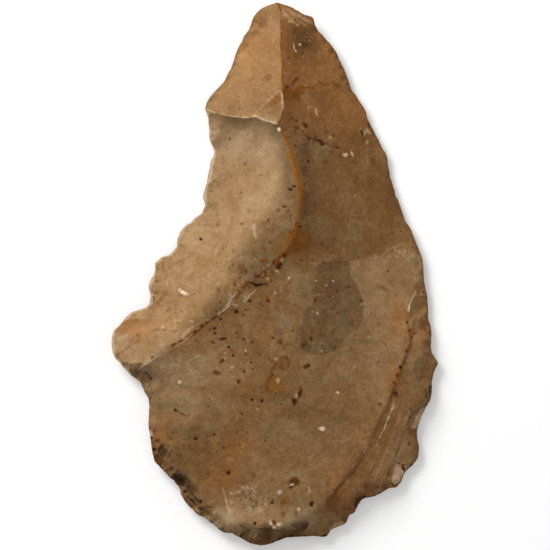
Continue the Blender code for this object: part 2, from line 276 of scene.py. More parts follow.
def turned(vectors, degrees):
    """Vectors turned anticlockwise."""
    c, s = math.cos(math.radians(degrees)), math.sin(math.radians(degrees))
    x, y = vectors[..., 0], vectors[..., 1]
    return np.stack([x * c - y * s, x * s + y * c], -1)


def lower_of(a, b, rounding):
    """The lower of two surfaces, with the crease between them rounded."""
    return 0.5 * (a + b - np.sqrt((a - b) ** 2 + rounding**2))


# %% [markdown]
# The face below is the one that split off the core. On a real flake it is smooth, with a low bulb
# under the striking point and faint ripples round it. It is flat in the middle, so the stone rests
# firmly, and lifts gently towards the rims. The rims' heights follow from it.

# %% The smooth lower face
LIFT_SLOPE = 0.20
LIFT_EASE = 0.005
BULB_HEIGHT = 0.0013
BULB_RADIUS = 0.0095
RIPPLE_HEIGHT = 0.00009
RIPPLE_SPACING = 0.0085
FLAT_MIDDLE = [
    (266, 112), (298, 112), (342, 195), (372, 320), (362, 425), (318, 462), (238, 455), (205, 385),
    (205, 330), (232, 225), (266, 112)]
BULB_CENTRE = (288, 484)
STRIKING_POINT = (283, 541)


def past_flat(points):
    """How far each place lies outside the flat middle."""
    distance, side, _ = nearest(points, placed(FLAT_MIDDLE))
    return np.where(side > 0, distance, 0)


def lift(outside):
    """The rise outside the flat middle: it starts softly and reaches LIFT_SLOPE."""
    return LIFT_SLOPE * (np.sqrt(outside**2 + LIFT_EASE**2) - LIFT_EASE)


def lower_height(points):
    """The lift, less the bulb, plus rings of ripples."""
    outside = past_flat(points)
    room = ease(outside / LIFT_EASE)
    bulb = np.linalg.norm(points - placed(BULB_CENTRE), axis=-1) / BULB_RADIUS
    ring = np.linalg.norm(points - placed(STRIKING_POINT), axis=-1) / RIPPLE_SPACING
    smooth = np.maximum(lift(outside) - BULB_HEIGHT * np.exp(-bulb**2) * room, 0)
    return smooth + RIPPLE_HEIGHT * (1 - np.cos(2 * math.pi * ring)) * room


# %% [markdown]
# The upper face is drawn as a map is: spot heights at chosen places, and the smoothest surface
# through them. A thin springy plate pinned at those spots takes just that shape, and its bending has
# a known formula, so numpy finds the plate by solving one set of equations. The tip's left slope, the
# big hollow and the broad back each have a plate of their own, which gives a crisp edge between them.
# The heights are percentages of the thickness, above the lift of the lower face.

# %% Spot heights of the upper face
TINY = 1e-12
RIDGE_SPOTS = [
    (277, 3, 3), (281, 14, 11), (281, 45, 33), (283, 92, 62), (277, 125, 74), (292, 158, 86),
    (300, 198, 96), (294, 236, 96), (267, 268, 88), (231, 303, 76), (190, 338, 58), (160, 356, 42),
    (131, 375, 28)]
TIP_SPOTS = RIDGE_SPOTS[:5] + [
    (254, 16, 3), (236, 53, 4), (213, 93, 5), (205, 109, 6), (260, 52, 21), (248, 97, 35)]
HOLLOW_SPOTS = RIDGE_SPOTS[4:] + [
    (277, 150, 79), (281, 178, 92), (275, 206, 99), (260, 224, 100), (246, 242, 98), (237, 262, 93),
    (226, 282, 86), (210, 302, 76), (192, 322, 64), (168, 344, 47), (209, 128, 5), (214, 152, 5),
    (205, 180, 5), (203, 205, 5), (178, 237, 5), (154, 270, 5), (149, 300, 5), (121, 323, 5),
    (112, 345, 5), (121, 366, 10), (243, 128, 31), (240, 145, 35), (243, 182, 42), (234, 215, 50),
    (207, 250, 46), (186, 290, 46), (158, 325, 36), (139, 350, 22)]
BACK_SPOTS = RIDGE_SPOTS + [
    (293, 8, 3), (316, 27, 4), (341, 62, 4), (369, 122, 4), (390, 173, 4), (404, 217, 5), (421, 254, 8),
    (427, 295, 13), (432, 335, 22), (436, 363, 30), (430, 400, 34), (417, 450, 38), (397, 487, 38),
    (360, 504, 36), (331, 530, 34), (297, 537, 32), (260, 545, 28), (215, 526, 24), (178, 488, 25),
    (152, 450, 26), (149, 412, 20), (312, 60, 23), (325, 120, 36), (340, 160, 42), (352, 205, 48),
    (355, 250, 56), (350, 300, 63), (335, 350, 67), (280, 320, 75), (240, 350, 69), (200, 380, 60),
    (190, 420, 56), (230, 430, 61), (290, 400, 69), (350, 400, 64), (390, 330, 46), (398, 285, 32),
    (270, 480, 57), (220, 490, 51), (330, 470, 57), (200, 460, 52)]


def smooth_through(spots, points):
    """The thin plate's height at each place: a weighted sum of r squared times log r over the spots."""
    table = np.array(spots, float)
    pins = placed(table[:, :2]) / LENGTH
    count = len(pins)
    apart = ((pins[:, None] - pins) ** 2).sum(-1)
    plain = np.column_stack([np.ones(count), pins])
    system = np.block([[apart * np.log(apart + TINY), plain], [plain.T, np.zeros((3, 3))]])
    weights = np.linalg.solve(system, np.concatenate([table[:, 2], np.zeros(3)]))
    at = points / LENGTH
    height = weights[count] + at @ weights[count + 1:]
    for pin, weight in zip(pins, weights):
        apart = ((at - pin) ** 2).sum(-1)
        height = height + weight * apart * np.log(apart + TINY)
    return height


crest_x, crest_y = np.meshgrid(np.arange(235.0, 300), np.arange(185.0, 260))
HIGHEST = smooth_through(HOLLOW_SPOTS, placed(np.stack([crest_x, crest_y], -1))).max()
print("highest spot in percent:", round(float(HIGHEST), 2))


def plate(spots, points):
    """The real height of the smooth surface through some spots."""
    return lift(past_flat(points)) + THICKNESS * smooth_through(spots, points) / HIGHEST


# %% [markdown]
# The edge itself is steep but never a wall. The surface may rise from the rim at EDGE_SLOPE at the
# most, and where it would come nearer to the lower face than a thin wedge, the wedge is kept.

# %% The edge
EDGE_SLOPE = math.tan(math.radians(62))
THINNEST_SLOPE = math.tan(math.radians(7))
CREASE_ROUNDING = 0.00025


def cut_back_to_edge(points, height):
    """The upper face with its edge cut back: it rises from the rim at EDGE_SLOPE at the most."""
    distance = distance_to_points(points, OUTLINE)
    under = lower_height(points)
    cut = lower_of(height, under + EDGE_SLOPE * distance, CREASE_ROUNDING)
    return np.maximum(cut, under + THINNEST_SLOPE * distance)


RIDGE_TOPS = cut_back_to_edge(RIDGE, plate(BACK_SPOTS, RIDGE))
print("heights along the ridge in mm:", (RIDGE_TOPS[::40] * 1000).round(1))

# %% [markdown]
# A flake scar ends in a crease or in a small step. A crease lets the stone fall away on one side of
# a drawn line. A step drops sharply at the line and climbs back gently, as where a removal broke off
# short. Undulations are broad, low swellings, and a pit is a small round hollow.

# %% Creases, steps and undulations
STEP_SHARPNESS = 0.00035
STEP_FADE = 0.002
RAGGEDNESS = 0.35
PIT_UNEVENNESS_SIZE = 0.0009
LOWER_RIGHT_CREASE = [
    (424, 287), (414, 314), (409, 342), (401, 367), (394, 385), (387, 402), (377, 422), (367, 444),
    (354, 463), (340, 481), (326, 501), (310, 514), (294, 521), (280, 527), (256, 528), (240, 537)]
LOWER_RIGHT_FALLS = [(287, 0.10), (342, 0.28), (444, 0.34), (501, 0.45), (521, 1.10), (537, 1.10)]
OUTER_CREASE = [(428, 404), (411, 410), (404, 428), (396, 446), (389, 462), (381, 478), (371, 497)]
OUTER_FALLS = [(404, 0.15), (497, 0.15)]
INNER_LEDGE = [
    (399, 391), (394, 401), (390, 412), (386, 425), (381, 434), (376, 445), (370, 456), (360, 470)]
DARK_STEP = [(284, 135), (297, 134), (310, 133), (320, 137), (330, 143), (338, 146), (346, 152)]
UNDULATIONS = [
    (335, 300, 34, 44, -0.00016), (240, 400, 50, 36, 0.00012), (190, 455, 34, 34, -0.00018),
    (330, 420, 36, 50, 0.00012), (270, 470, 40, 24, -0.00014), (310, 60, 18, 30, -0.00012),
    (345, 190, 22, 44, -0.00016), (230, 350, 34, 20, -0.00012), (390, 265, 30, 26, 0.00012)]
PITS = [
    (295, 484, 5, 0.0003), (292, 396, 5, 0.0002), (217, 373, 2.4, 0.0002), (180, 409, 3, 0.0002),
    (311, 503, 3, 0.0002), (396, 393, 2.4, 0.0002), (229, 472, 2.4, 0.0002), (201, 239, 1.8, 0.0002),
    (196, 438, 2.4, 0.0002)]


def crease(points, line, falls):
    """How far the stone falls past a crease: its slope times the distance, rounded at the line."""
    distance, side, on_line = nearest(points, placed(line))
    past = np.where(side > 0, distance, -distance)
    slope = glide(falls, sheet_y(on_line[..., 1]))
    return slope * 0.5 * (past + np.sqrt(past**2 + CREASE_ROUNDING**2))


def step(points, line, depth, reach):
    """A drop just past a line, of a depth, that climbs back over a reach and fades at the line's ends."""
    drawn = placed(line)
    distance, side, on_line = nearest(points, drawn)
    past = np.where(side > 0, distance, -distance)
    ends = np.minimum(*[np.linalg.norm(points - end, axis=-1) for end in (drawn[0], drawn[-1])])
    return depth * ease(past / STEP_SHARPNESS) * np.exp(-past.clip(0) / reach) * ease(ends / STEP_FADE)


def soft_ellipses(points, table):
    """The sum of soft ellipses, each an amount times a bell curve of the distance in its half widths."""
    total = np.zeros(points.shape[:-1])
    for x, y, across, along, amount in table:
        offset = (points - placed((x, y))) / (np.array([across, along]) * UNIT)
        total += amount * np.exp(-(offset**2).sum(-1))
    return total


def undulating(points):
    """Broad low swellings and hollows, each a soft ellipse, and small round pits."""
    height = soft_ellipses(points, UNDULATIONS)
    for x, y, radius, depth in PITS:
        offset = np.linalg.norm(points - placed((x, y)), axis=-1) / (radius * UNIT)
        ragged = offset * (1 + RAGGEDNESS * drift(points, PIT_UNEVENNESS_SIZE, 5))
        height -= depth * np.exp(-ragged**2)
    return height


# %% [markdown]
# The edge was worked with small blows, and each took off a chip. A chip's floor opens at the rim and
# widens inwards like a fan. It rises gently, then steeply at its two sides and where the chip ended.
# Where such floors meet, the lowest is what is left, and that makes the crisp little ridges between
# them. Besides the large ones, which have their places, rows of small ones run along every rim. Young
# chips show the dark stone inside, in a shade from 0 for nearly black to 1 for pale, and old ones have
# the brown skin again, so each chip also says how fresh it is.

# %% Chips along the edge
CHIP_REACH = 4.5
CHIP_ROUNDING = CREASE_ROUNDING / 5
CHIP_SHOWS_FROM = 0.00012
CHIPS = [
    (134, 377, 6, 0.75, 30, 0.45, 0.3), (142, 387, 9, 0.85, 30, 0.6, 0.4),
    (150, 434, 5, 1.1, -20, 0.75, 0.5), (155, 459, 9, 0.95, 20, 0.16, 1),
    (164, 473, 5, 1.1, -25, 0.4, 0.7), (176, 484, 7, 0.95, 25, 0.1, 1.1),
    (184, 498, 8, 0.95, 15, 0.34, 0.9), (192, 508, 7, 0.95, -15, 0.36, 0.9),
    (202, 517, 6, 1.1, -10, 0.3, 0.8), (223, 533, 5, 1.1, 20, 0.2, 0.9),
    (246, 541, 10, 0.95, 10, 0.4, 0.7), (268, 543, 9, 1, 10, 0.15, 0.9),
    (288, 538, 6, 1.1, -20, 0.1, 0.9), (304, 537, 9, 1.1, 10, 0.1, 0.9), (326, 536, 5, 1, 0, 0.05, 1),
    (335, 528, 6, 0.85, 0, 0.8, 0.8), (347, 520, 7, 0.9, -10, 0.25, 0.6), (424, 413, 6, 0.7, 0, 0.6, 0.3),
    (406, 473, 9, 0.6, 15, 0.5, 0.3), (396, 487, 5, 0.8, -10, 0.15, 1), (358, 508, 6, 0.9, 0, 0.35, 0.5),
    (386, 154, 6, 0.45, 0, 0.4, 0.3), (412, 232, 7, 0.4, 0, 0.4, 0.3), (436, 371, 7, 0.45, 0, 0.6, 0.4),
    (118, 326, 8, 0.4, 0, 0.3, 0.3), (150, 303, 6, 0.4, 0, 0.4, 0.3), (164, 256, 7, 0.4, 0, 0.4, 0.3)]


def inwards_from(centre, turn):
    """The direction from a place on the rim into the stone, turned by some degrees."""
    k = int(np.linalg.norm(OUTLINE - centre, axis=1).argmin())
    along = OUTLINE[(k + 5) % len(OUTLINE)] - OUTLINE[k - 5]
    return turned(np.array([-along[1], along[0]]) / np.linalg.norm(along), turn)


def rim_chips(rim, first_y, last_y, spacing, size, rise, young, seed):
    """Chips in a row on a rim between two sheet y's, whose size, place, turn and age vary steadily."""
    y = sheet_y(rim[:, 1])
    stretch = rim[(y > first_y) & (y < last_y)]
    run = run_along(stretch)
    chips = []
    rng = np.random.default_rng(seed)
    at = spacing * UNIT * rng.random()
    while at < run[-1]:
        centre = np.array([np.interp(at, run, stretch[:, 0]), np.interp(at, run, stretch[:, 1])])
        half_width = size * UNIT * (0.35 + 1.5 * rng.random() ** 2.5)
        inward = inwards_from(centre, rng.normal() * 28)
        freshness = 0.9 if rng.random() < young else 0.25 * rng.random()
        steepness = rise * (0.6 + 0.8 * rng.random())
        shade = 0.6 * rng.random() ** 2
        chips.append((centre, inward, half_width, steepness, shade, freshness))
        at += spacing * UNIT * (0.3 + 1.4 * rng.random())
    return chips


CHIP_ROWS = [
    (LEFT_RIM, 440, 544, 9, 4.5, 1.3, 0.08), (LEFT_RIM, 385, 540, 4, 2.2, 1.7, 0.25),
    (LEFT_RIM, 20, 370, 8, 3, 0.5, 0), (RIGHT_RIM, 20, 350, 8, 3, 0.5, 0),
    (RIGHT_RIM, 350, 540, 9, 5, 1, 0.05), (RIGHT_RIM, 380, 540, 5, 2.6, 1.3, 0.3)]
ALL_CHIPS = [chip for seed, row in enumerate(CHIP_ROWS, 1) for chip in rim_chips(*row, seed)]
for x, y, half_width, rise, turn, shade, freshness in CHIPS:
    centre = placed((x, y))
    ALL_CHIPS.append((centre, inwards_from(centre, turn), half_width * UNIT, rise, shade, freshness))
print("chips along the edge:", len(ALL_CHIPS))


def chip_floor(spot, inward, number):
    """A chip's floor, in half widths: a gentle rise, and steep walls past its sides and its far end."""
    into = (spot @ inward).clip(0)
    sideways = abs(spot @ np.array([-inward[1], inward[0]]))
    fan = (0.25 + 0.45 * (number * 0.618 % 1)) * (0.7 + 0.4 * into)
    far_end = 1.0 + 1.1 * (number * 0.414 % 1)
    return 0.6 * into + 1.9 * (into - far_end).clip(0) + 1.6 * (sideways - fan).clip(0)


def chipped(points, height):
    """The upper face less its edge chips, how much fresh stone shows at each place, and in what shade."""
    height = height.copy()
    fresh, shades = np.zeros(height.shape), np.full(height.shape, 0.3)
    for number, (centre, inward, half_width, rise, shade, freshness) in enumerate(ALL_CHIPS):
        offset = points - centre
        near = (abs(offset) < CHIP_REACH * half_width).all(-1)
        spot = offset[near] / half_width
        spot = spot + 0.12 * drift(points[near], half_width * 0.8, 21, layers=2)[:, None]
        stone = height[near]
        floor = lower_height(centre[None])[0] + rise * half_width * chip_floor(spot, inward, number)
        cut = lower_of(stone, floor, CHIP_ROUNDING)
        taken = ease((stone - cut) / CHIP_SHOWS_FROM - 0.3)
        inside = freshness * (1 - 0.3 * (spot @ inward).clip(0, 2))
        fresh[near] += (inside - fresh[near]) * taken
        shades[near] += (shade - shades[near]) * taken
        height[near] = cut
    return height, fresh, shades


# %% [markdown]
# Now the two halves of the upper face, as grids. Each row of a grid goes from one rail to the next,
# with its columns crowded towards the edge, where the small chips are. The rows near the end of the
# tip's slope bend a little, because the step there is a wavy line.

# %% Rows between the rails
LEFT_COLUMNS, RIGHT_COLUMNS, LOWER_COLUMNS = 58, 162, 16
CROWDING = 0.45
STEP_REACH = 0.0018
RIDGE_STEP = 0.0009
RIDGE_STEP_REACH = 0.0022
RIDGE_STEP_FADE = 0.012
RIDGE_STEP_FROM, RIDGE_STEP_FULL = 60, 140
ROUGHNESS_HEIGHT = 0.00007
ROUGHNESS_SIZE = 0.0035
LINE_WAVE = [(0, 0), (0.25, 2), (0.48, 1), (0.6, -0.5), (0.7, -3.3), (0.82, -2), (1, 0)]
WAVE_FADE = 0.004


def crowded(columns):
    """That many spaces from 0 to 1, narrower towards both ends: t less a share of a sine wave."""
    t = np.linspace(0, 1, columns + 1)
    return t - CROWDING * np.sin(2 * math.pi * t) / (2 * math.pi)


def between(start, end, shares):
    """Rows of points from one rail to another, at those shares of the way."""
    return start[:, None] + (end - start)[:, None] * shares[..., None]


def roughness(points):
    """The fine unevenness of a split surface, from a few millimetres down to a few tenths."""
    return ROUGHNESS_HEIGHT * drift(points, ROUGHNESS_SIZE, 11, layers=4)


def broken(points, height, shares):
    """A face with its undulations and roughness, which fade at its rails, its chips and its cut edge."""
    inside = np.minimum(4 * shares * (1 - shares), 1)
    height, fresh, shades = chipped(points, height + (undulating(points) + roughness(points)) * inside)
    return cut_back_to_edge(points, height), fresh, shades


# %% [markdown]
# The left grid holds the slope at the tip and the big hollow below it. The hollow is a later scar
# that bit deep into the older ones. Just below the tip's slope the surface eases from the tip's plate
# down to the hollow's plate, and that is the step.

# %% The left face


def left_face():
    """The tip's plate above the wavy line, the hollow's plate below it, and the step between them."""
    left, ridge = LEFT_RIM[:RIDGE_ROWS], RIDGE
    shares = np.repeat(crowded(LEFT_COLUMNS)[None], RIDGE_ROWS, 0)
    points = between(left, ridge, shares)
    from_line = abs(sheet_y(ridge[:, 1]) - sheet_y(ridge[TIP_ROWS, 1])) * UNIT / WAVE_FADE
    points[..., 1] -= UNIT * glide(LINE_WAVE, shares) * np.exp(-from_line[:, None] ** 2)
    below = UNIT * np.maximum(sheet_y(points[..., 1]) - sheet_y(points[TIP_ROWS, :, 1]), 0)
    below[:TIP_ROWS] = 0
    share_of_tip = np.exp(-below / STEP_REACH)
    tip, hollow = plate(TIP_SPOTS, points), plate(HOLLOW_SPOTS, points)
    height = hollow + (tip - hollow) * share_of_tip
    height += (RIDGE_TOPS - height[:, -1])[:, None] * shares**6
    height, fresh, shades = broken(points, height, shares)
    height[:, -1] = RIDGE_TOPS
    height[:, 0] = lower_height(left)
    return np.stack([points[..., 0], points[..., 1], height, fresh, shades], -1)


LEFT_GRID = left_face()
print("left face:", LEFT_GRID.shape[:2], " highest in mm:", round(LEFT_GRID[..., 2].max() * 1000, 3))

# %% [markdown]
# The right grid holds all the rest: the slope right of the ridge, the broad swelling back below it,
# the slanting facets at the lower right and the steep butt.

# %% The right face


def right_face():
    """The back's plate, less a drop beside the ridge and the steps and creases drawn on it."""
    near = np.concatenate([RIDGE, LEFT_RIM[RIDGE_ROWS:]])
    shares = np.repeat(crowded(RIGHT_COLUMNS)[None], len(near), 0)
    points = between(near, RIGHT_RIM, shares)
    height = plate(BACK_SPOTS, points)
    from_ridge = distance_to_points(points, RIDGE)
    along = ease((sheet_y(points[..., 1]) - RIDGE_STEP_FROM) / (RIDGE_STEP_FULL - RIDGE_STEP_FROM))
    along = along * ease(np.linalg.norm(points - RIDGE[-1], axis=-1) / RIDGE_STEP_FADE)
    height -= RIDGE_STEP * along * (1 - np.exp(-from_ridge / RIDGE_STEP_REACH))
    height -= crease(points, LOWER_RIGHT_CREASE, LOWER_RIGHT_FALLS)
    height -= crease(points, OUTER_CREASE, OUTER_FALLS)
    height -= step(points, INNER_LEDGE, depth=0.00018, reach=0.0016)
    height -= step(points, LOWER_RIGHT_CREASE[1:12], depth=0.0006, reach=0.003)
    height -= step(points, OUTER_CREASE, depth=0.0003, reach=0.002)
    height -= step(points, DARK_STEP[::-1], depth=0.00018, reach=0.0025)
    height, fresh, shades = broken(points, height, shares)
    height[:RIDGE_ROWS, 0] = RIDGE_TOPS
    height[RIDGE_ROWS:, 0] = lower_height(LEFT_RIM[RIDGE_ROWS:])
    height[:, -1] = lower_height(RIGHT_RIM)
    return np.stack([points[..., 0], points[..., 1], height, fresh, shades], -1)


RIGHT_GRID = right_face()
print("right face:", RIGHT_GRID.shape[:2], " highest in mm:", round(RIGHT_GRID[..., 2].max() * 1000, 3))

# %% The lower face


def lower_face():
    """Rows from rim to rim on the smooth lower surface."""
    shares = np.repeat(np.linspace(0, 1, LOWER_COLUMNS + 1)[None], len(LEFT_RIM), 0)
    points = between(LEFT_RIM, RIGHT_RIM, shares)
    return np.concatenate([points, lower_height(points)[..., None]], -1)


LOWER_GRID = lower_face()
print("lower face:", LOWER_GRID.shape[:2])

# %% [markdown]
# The stone's colours are painted in its mesh, as named values at each point: how light the patina is,
# with some painted light and shade in it, and where rust, dark soil with a few painted shade lines, pale
# wear with a few painted highlights, fresh grey stone and glassy stone lie. The material reads them
# and breaks their borders up with its own finer noise. So the stains stay where they belong from
# every side, and the chips show fresh stone exactly where the mesh was chipped.
#
# A small stain's border would look blurred if its colour were painted straight on, because the points
# of the mesh are too far apart. So what is painted is a depth: one half on the border, more inside,
# less outside. It changes evenly from point to point, and the material cuts it off sharply at one half.

# %% Painted depths
BORDER = 3.0


def as_depth(inside):
    """A distance inside a border, in sheet units, as a value from 0 to 1: one half on the border."""
    return np.clip(0.5 + inside / (2 * BORDER), 0, 1)


def deepest(layers):
    """Several (depth, strength) stains as one: the deepest at each place, with its strength."""
    depth, strength = layers[0]
    for other, other_strength in layers[1:]:
        strength = np.where(other > depth, other_strength, strength)
        depth = np.maximum(depth, other)
    return depth, strength


def close_to(points, drawn, reach):
    """Which places are inside the box of a drawn line, widened by a reach in sheet units."""
    low_corner, high_corner = drawn.min(0) - reach * UNIT, drawn.max(0) + reach * UNIT
    return ((points > low_corner) & (points < high_corner)).all(-1)


# %% [markdown]
# Three kinds of stain are enough. A blot is an ellipse, given by its place, its two half widths, its
# turn in degrees and its strength. A lined stain follows a drawn line, and its width drifts so much
# that it breaks up here and there. A patch fills a drawn closed outline.

# %% Blots, lined stains and patches
BLOT_SPREAD = 0.35
LINE_WANDER = 0.9
LINE_WANDER_SIZE = 0.0012
BREAK_SIZE = 0.0016


def blots(points, table, seed):
    """Ellipses with borders made ragged by drift: the depth is one less the distance in half widths."""
    depth, strengths = np.zeros(points.shape[:-1]), np.zeros(points.shape[:-1])
    for place_x, place_y, across, along, turn, strength in table:
        centre = placed((place_x, place_y))
        near = close_to(points, centre[None], 2 * max(across, along) + 2 * BORDER)
        if not near.any():
            continue
        spot = turned((points[near] - centre) / UNIT, -turn) / (across, along)
        out = np.hypot(spot[:, 0], spot[:, 1])
        out = out * (1 + RAGGEDNESS * drift(points[near], max(across, along) * UNIT * 0.7, seed, layers=2))
        found = as_depth((1 - out) * min(across, along) + BLOT_SPREAD)
        strengths[near] = np.where(found > depth[near], strength, strengths[near])
        depth[near] = np.maximum(found, depth[near])
    return depth, strengths


def lined(points, line, half_width, strength, seed):
    """A stain along a line: the depth is its half width, which drifts, less the distance from the line."""
    drawn = placed(line)
    depth = np.zeros(points.shape[:-1])
    near = close_to(points, drawn, half_width + 2 * BORDER)
    if near.any():
        off = LINE_WANDER * UNIT * drift(points[near], LINE_WANDER_SIZE, seed + 5)
        wandering = points[near] + off[:, None]
        distance, _, _ = nearest(wandering, drawn)
        width = half_width * (0.85 + 1.08 * drift(points[near], BREAK_SIZE, seed, layers=2))
        depth[near] = as_depth(width - distance / UNIT)
    return depth, np.full(depth.shape, strength)


def patch(points, outline, strength, wander=1.5):
    """A stain that fills a closed outline: the depth is the distance from the outline, less outside it."""
    drawn = placed(outline + outline[:1])
    depth = np.zeros(points.shape[:-1])
    near = close_to(points, drawn, 2 * BORDER)
    if near.any():
        spot = points[near] + wander * UNIT * drift(points[near], BREAK_SIZE, 91, layers=3)[:, None]
        distance, _, _ = nearest(spot, drawn)
        inside = np.zeros(len(spot), bool)
        for (ax, ay), (bx, by) in zip(drawn[:-1], drawn[1:]):
            crosses = (ay > spot[:, 1]) != (by > spot[:, 1])
            inside ^= crosses & (spot[:, 0] < (bx - ax) * (spot[:, 1] - ay) / (by - ay + TINY) + ax)
        depth[near] = as_depth(np.where(inside, distance, -distance) / UNIT)
    return depth, np.full(depth.shape, strength)


def scattered(x, y, across, along, count, size, strength, seed):
    """A cloud of small spots round a place, thicker towards its middle, as rows for a table of blots."""
    rng = np.random.default_rng(seed)
    places = rng.normal(size=(count, 2)) * (across, along) * 0.5 + (x, y)
    sizes = size * (0.5 + rng.random(count))
    other_sizes = sizes * (0.7 + 0.7 * rng.random(count))
    turns = rng.random(count) * 180
    strengths = strength * (0.5 + 0.5 * rng.random(count))
    return [(*place, *rest) for place, *rest in zip(places, sizes, other_sizes, turns, strengths)]


def all_blots(table, clouds):
    """A table's rows in full, and the spots of its scattered clouds."""
    rows = [(row, strength) for strength, group in table.items() for row in group]
    full = [(*row, *(row[2], 0)[len(row) - 3:], strength) for row, strength in rows]
    return full + [spot for cloud in clouds for spot in scattered(*cloud)]


# %% [markdown]
# The tables hold the stains in the order a restorer would list them: rust, which follows cracks and
# ridges; amber where iron soaked in; dark soil in pits, with a few painted shade lines beside steps and
# ridges; and pale worn spots, with painted highlights along some worn ridges. Blots are listed under
# their strength, in rows of x, y, half width, other half width and turn. A row may leave out the turn
# if it is 0, and the other half width too if the two are the same. A row of a scatter holds the place,
# the spread across and along, how many spots, their size, their strength and the seed.

# %% Rust and amber
RUST = {
    1: [(407, 322, 0.8, 1.6), (409, 331, 0.9, 2.2)],
    0.95: [(279, 266.5, 3.3, 3, 20), (236.5, 294.5, 1.6, 1, 30)],
    0.9: [(297, 224, 1.3, 2.4), (294, 232, 1.3, 2), (285, 255, 1.6, 2.2, 20), (214, 434, 1.2, 1.4),
        (411, 337, 1, 1.5), (406, 351, 1, 1.3), (423, 292, 1, 1.2)],
    0.88: [(202, 325.5, 1.9, 1.2, 35), (207, 322.5, 1.3, 1, 35)],
    0.85: [(275, 272, 1.5, 1.1, 45), (312, 88.5, 1.8, 1.2, -20), (195, 331.5, 2.6, 1.3, 30),
        (174, 344.5, 2.8, 1.2, 25), (153, 357, 1.5, 1, 25)],
    0.8: [(275.5, 262.3, 3, 2.8), (239, 381, 1.4, 1.9), (415, 333, 0.9, 1), (406.6, 350.7, 1.2, 1.3),
        (403.2, 362, 1.1, 1.8, -15), (397, 375.4, 1.3, 1.8), (410.5, 337, 1, 1.5, -20),
        (294.5, 82, 1.2, 4.6, -42), (418, 293, 0.9), (425, 330, 1, 1.4), (302, 88.5, 1.6, 1),
        (284, 92, 1.6, 1, 20), (243, 285, 1, 1.8), (337, 147, 2, 1, -35), (273.8, 521.5, 1.7, 2)],
    0.75: [(265.5, 274, 1.7, 2), (404.5, 357, 1, 1.4, -15), (393.8, 382.4, 1.2, 1.6), (414, 333, 1)],
    0.7: [(181, 341, 2.4, 0.9, 25), (188, 335.5, 2, 0.7, 30), (115, 355, 1.6, 1.2, 20)],
    0.6: [(267, 297, 1.1, 1.4)],
    0.5: [(263, 261, 3, 2), (292, 382, 1.2)],
    0.25: [(287, 135, 2.4, 3.2, 20)]}
RUST_SCATTER = [
    (250, 330, 60, 60, 12, 0.9, 0.9, 31), (320, 130, 30, 16, 8, 0.8, 0.9, 32),
    (262, 280, 30, 20, 12, 1, 0.95, 33), (310, 200, 30, 60, 10, 0.8, 0.9, 34),
    (330, 320, 30, 40, 12, 0.8, 0.8, 35), (285, 70, 6, 50, 10, 0.8, 0.7, 36)]
RUST_LINES = [
    ([(248, 282), (244, 288), (240, 292), (236, 296)], 2.6, 0.66),
    ([(273, 249), (277, 253), (284, 254)], 1.1, 0.5),
    ([(292, 232), (288, 242), (284, 250), (281, 255)], 1.7, 0.62), (RIDGE_HOLLOW[1:9], 1.4, 0.6),
    (RIDGE_HOLLOW[8:13], 1.8, 0.64), (RIDGE_TIP, 0.8, 0.75), (RIDGE_HOLLOW[13:18], 0.7, 0.8),
    (RIDGE_HOLLOW[20:24], 0.7, 0.75), ([(284, 91), (292, 89.5), (303, 88.5)], 1.6, 0.68),
    ([(303, 88.5), (312, 88), (320, 84)], 0.9, 0.7),
    ([(319, 82), (322, 86), (327, 86), (334, 82)], 1.3, 0.7),
    ([(117, 332), (121, 325), (127, 321), (134, 320.5), (139, 324), (140.5, 333), (138, 342)], 1.5, 0.22),
    ([(115, 331), (120, 325), (126, 321)], 1.2, 0.8),
    ([(416, 292), (411, 301), (408, 313), (407, 322), (409, 333), (410, 344), (406.5, 351), (403.7, 361),
      (400.5, 368), (397, 375.5), (394, 382), (393, 388)], 0.9, 0.55),
    ([(116, 355), (126, 349), (138, 340)], 0.7, 0.6),
    ([(276, 263), (283, 255), (290, 243), (296, 230)], 0.7, 0.8)]
RUST_PATCHES = [
    ([(114, 333), (115, 328), (121, 323), (132, 320), (137, 324), (140, 331), (134, 331),
      (124, 334)], 0.12), ([(273, 254), (272, 242), (280, 235), (292, 234), (291, 244), (284, 253)], 0.15)]
AMBER = {
    1: [(294.5, 481, 5.4, 4.2, -20), (280, 342, 2.4, 2.6)],
    0.9: [(254, 474, 1.6, 1.5)],
    0.8: [(272, 361, 2.4, 1, -45)],
    0.7: [(285, 346, 2.6, 0.9, 45), (298, 364, 0.9, 3.6, 5), (270, 390, 2.6, 2), (282, 390, 2.4, 2)],
    0.6: [(283, 513, 1.3, 2), (296, 513, 1.2, 2)],
    0.55: [(303, 238, 8, 7)],
    0.5: [(284, 501, 3, 5, -40), (272, 479, 1.6)],
    0.4: [(382, 288, 5, 1.6, -20)],
    0.35: [(262, 295, 4, 3, 30), (250, 386, 2, 3)],
    0.25: [(231, 474, 3, 8, -20)]}
AMBER_SCATTER = [(245, 267, 20, 16, 16, 1.1, 0.5, 37), (262, 230, 14, 26, 10, 1.3, 0.6, 38)]
AMBER_RING = [(281, 358), (286, 358), (288, 362), (287, 368), (283, 370), (280, 367), (281, 362)]
AMBER_LINES = [
    (RIDGE_HOLLOW[2:9], 4.2, 0.25), (AMBER_RING + AMBER_RING[:1], 1.3, 0.85),
    ([(276, 365), (272, 370), (272, 376), (268, 384), (266, 390)], 1.6, 0.95),
    ([(277, 366), (283, 367)], 1.2, 0.8)]
AMBER_PATCHES = [
    ([(272, 375), (279, 374), (284, 377), (285, 384), (284, 391), (278, 393), (270, 391), (266, 390),
      (268, 382)], 0.45), ([(284, 91), (303, 90), (304, 94), (299, 97), (301, 101), (284, 101)], 0.62),
    ([(289, 231), (298, 228), (309, 234), (311, 244), (304, 252), (293, 253), (286, 257)], 0.65),
    ([(267, 107), (272, 99), (280, 94), (281, 100), (277, 106), (270, 108)], 0.45)]
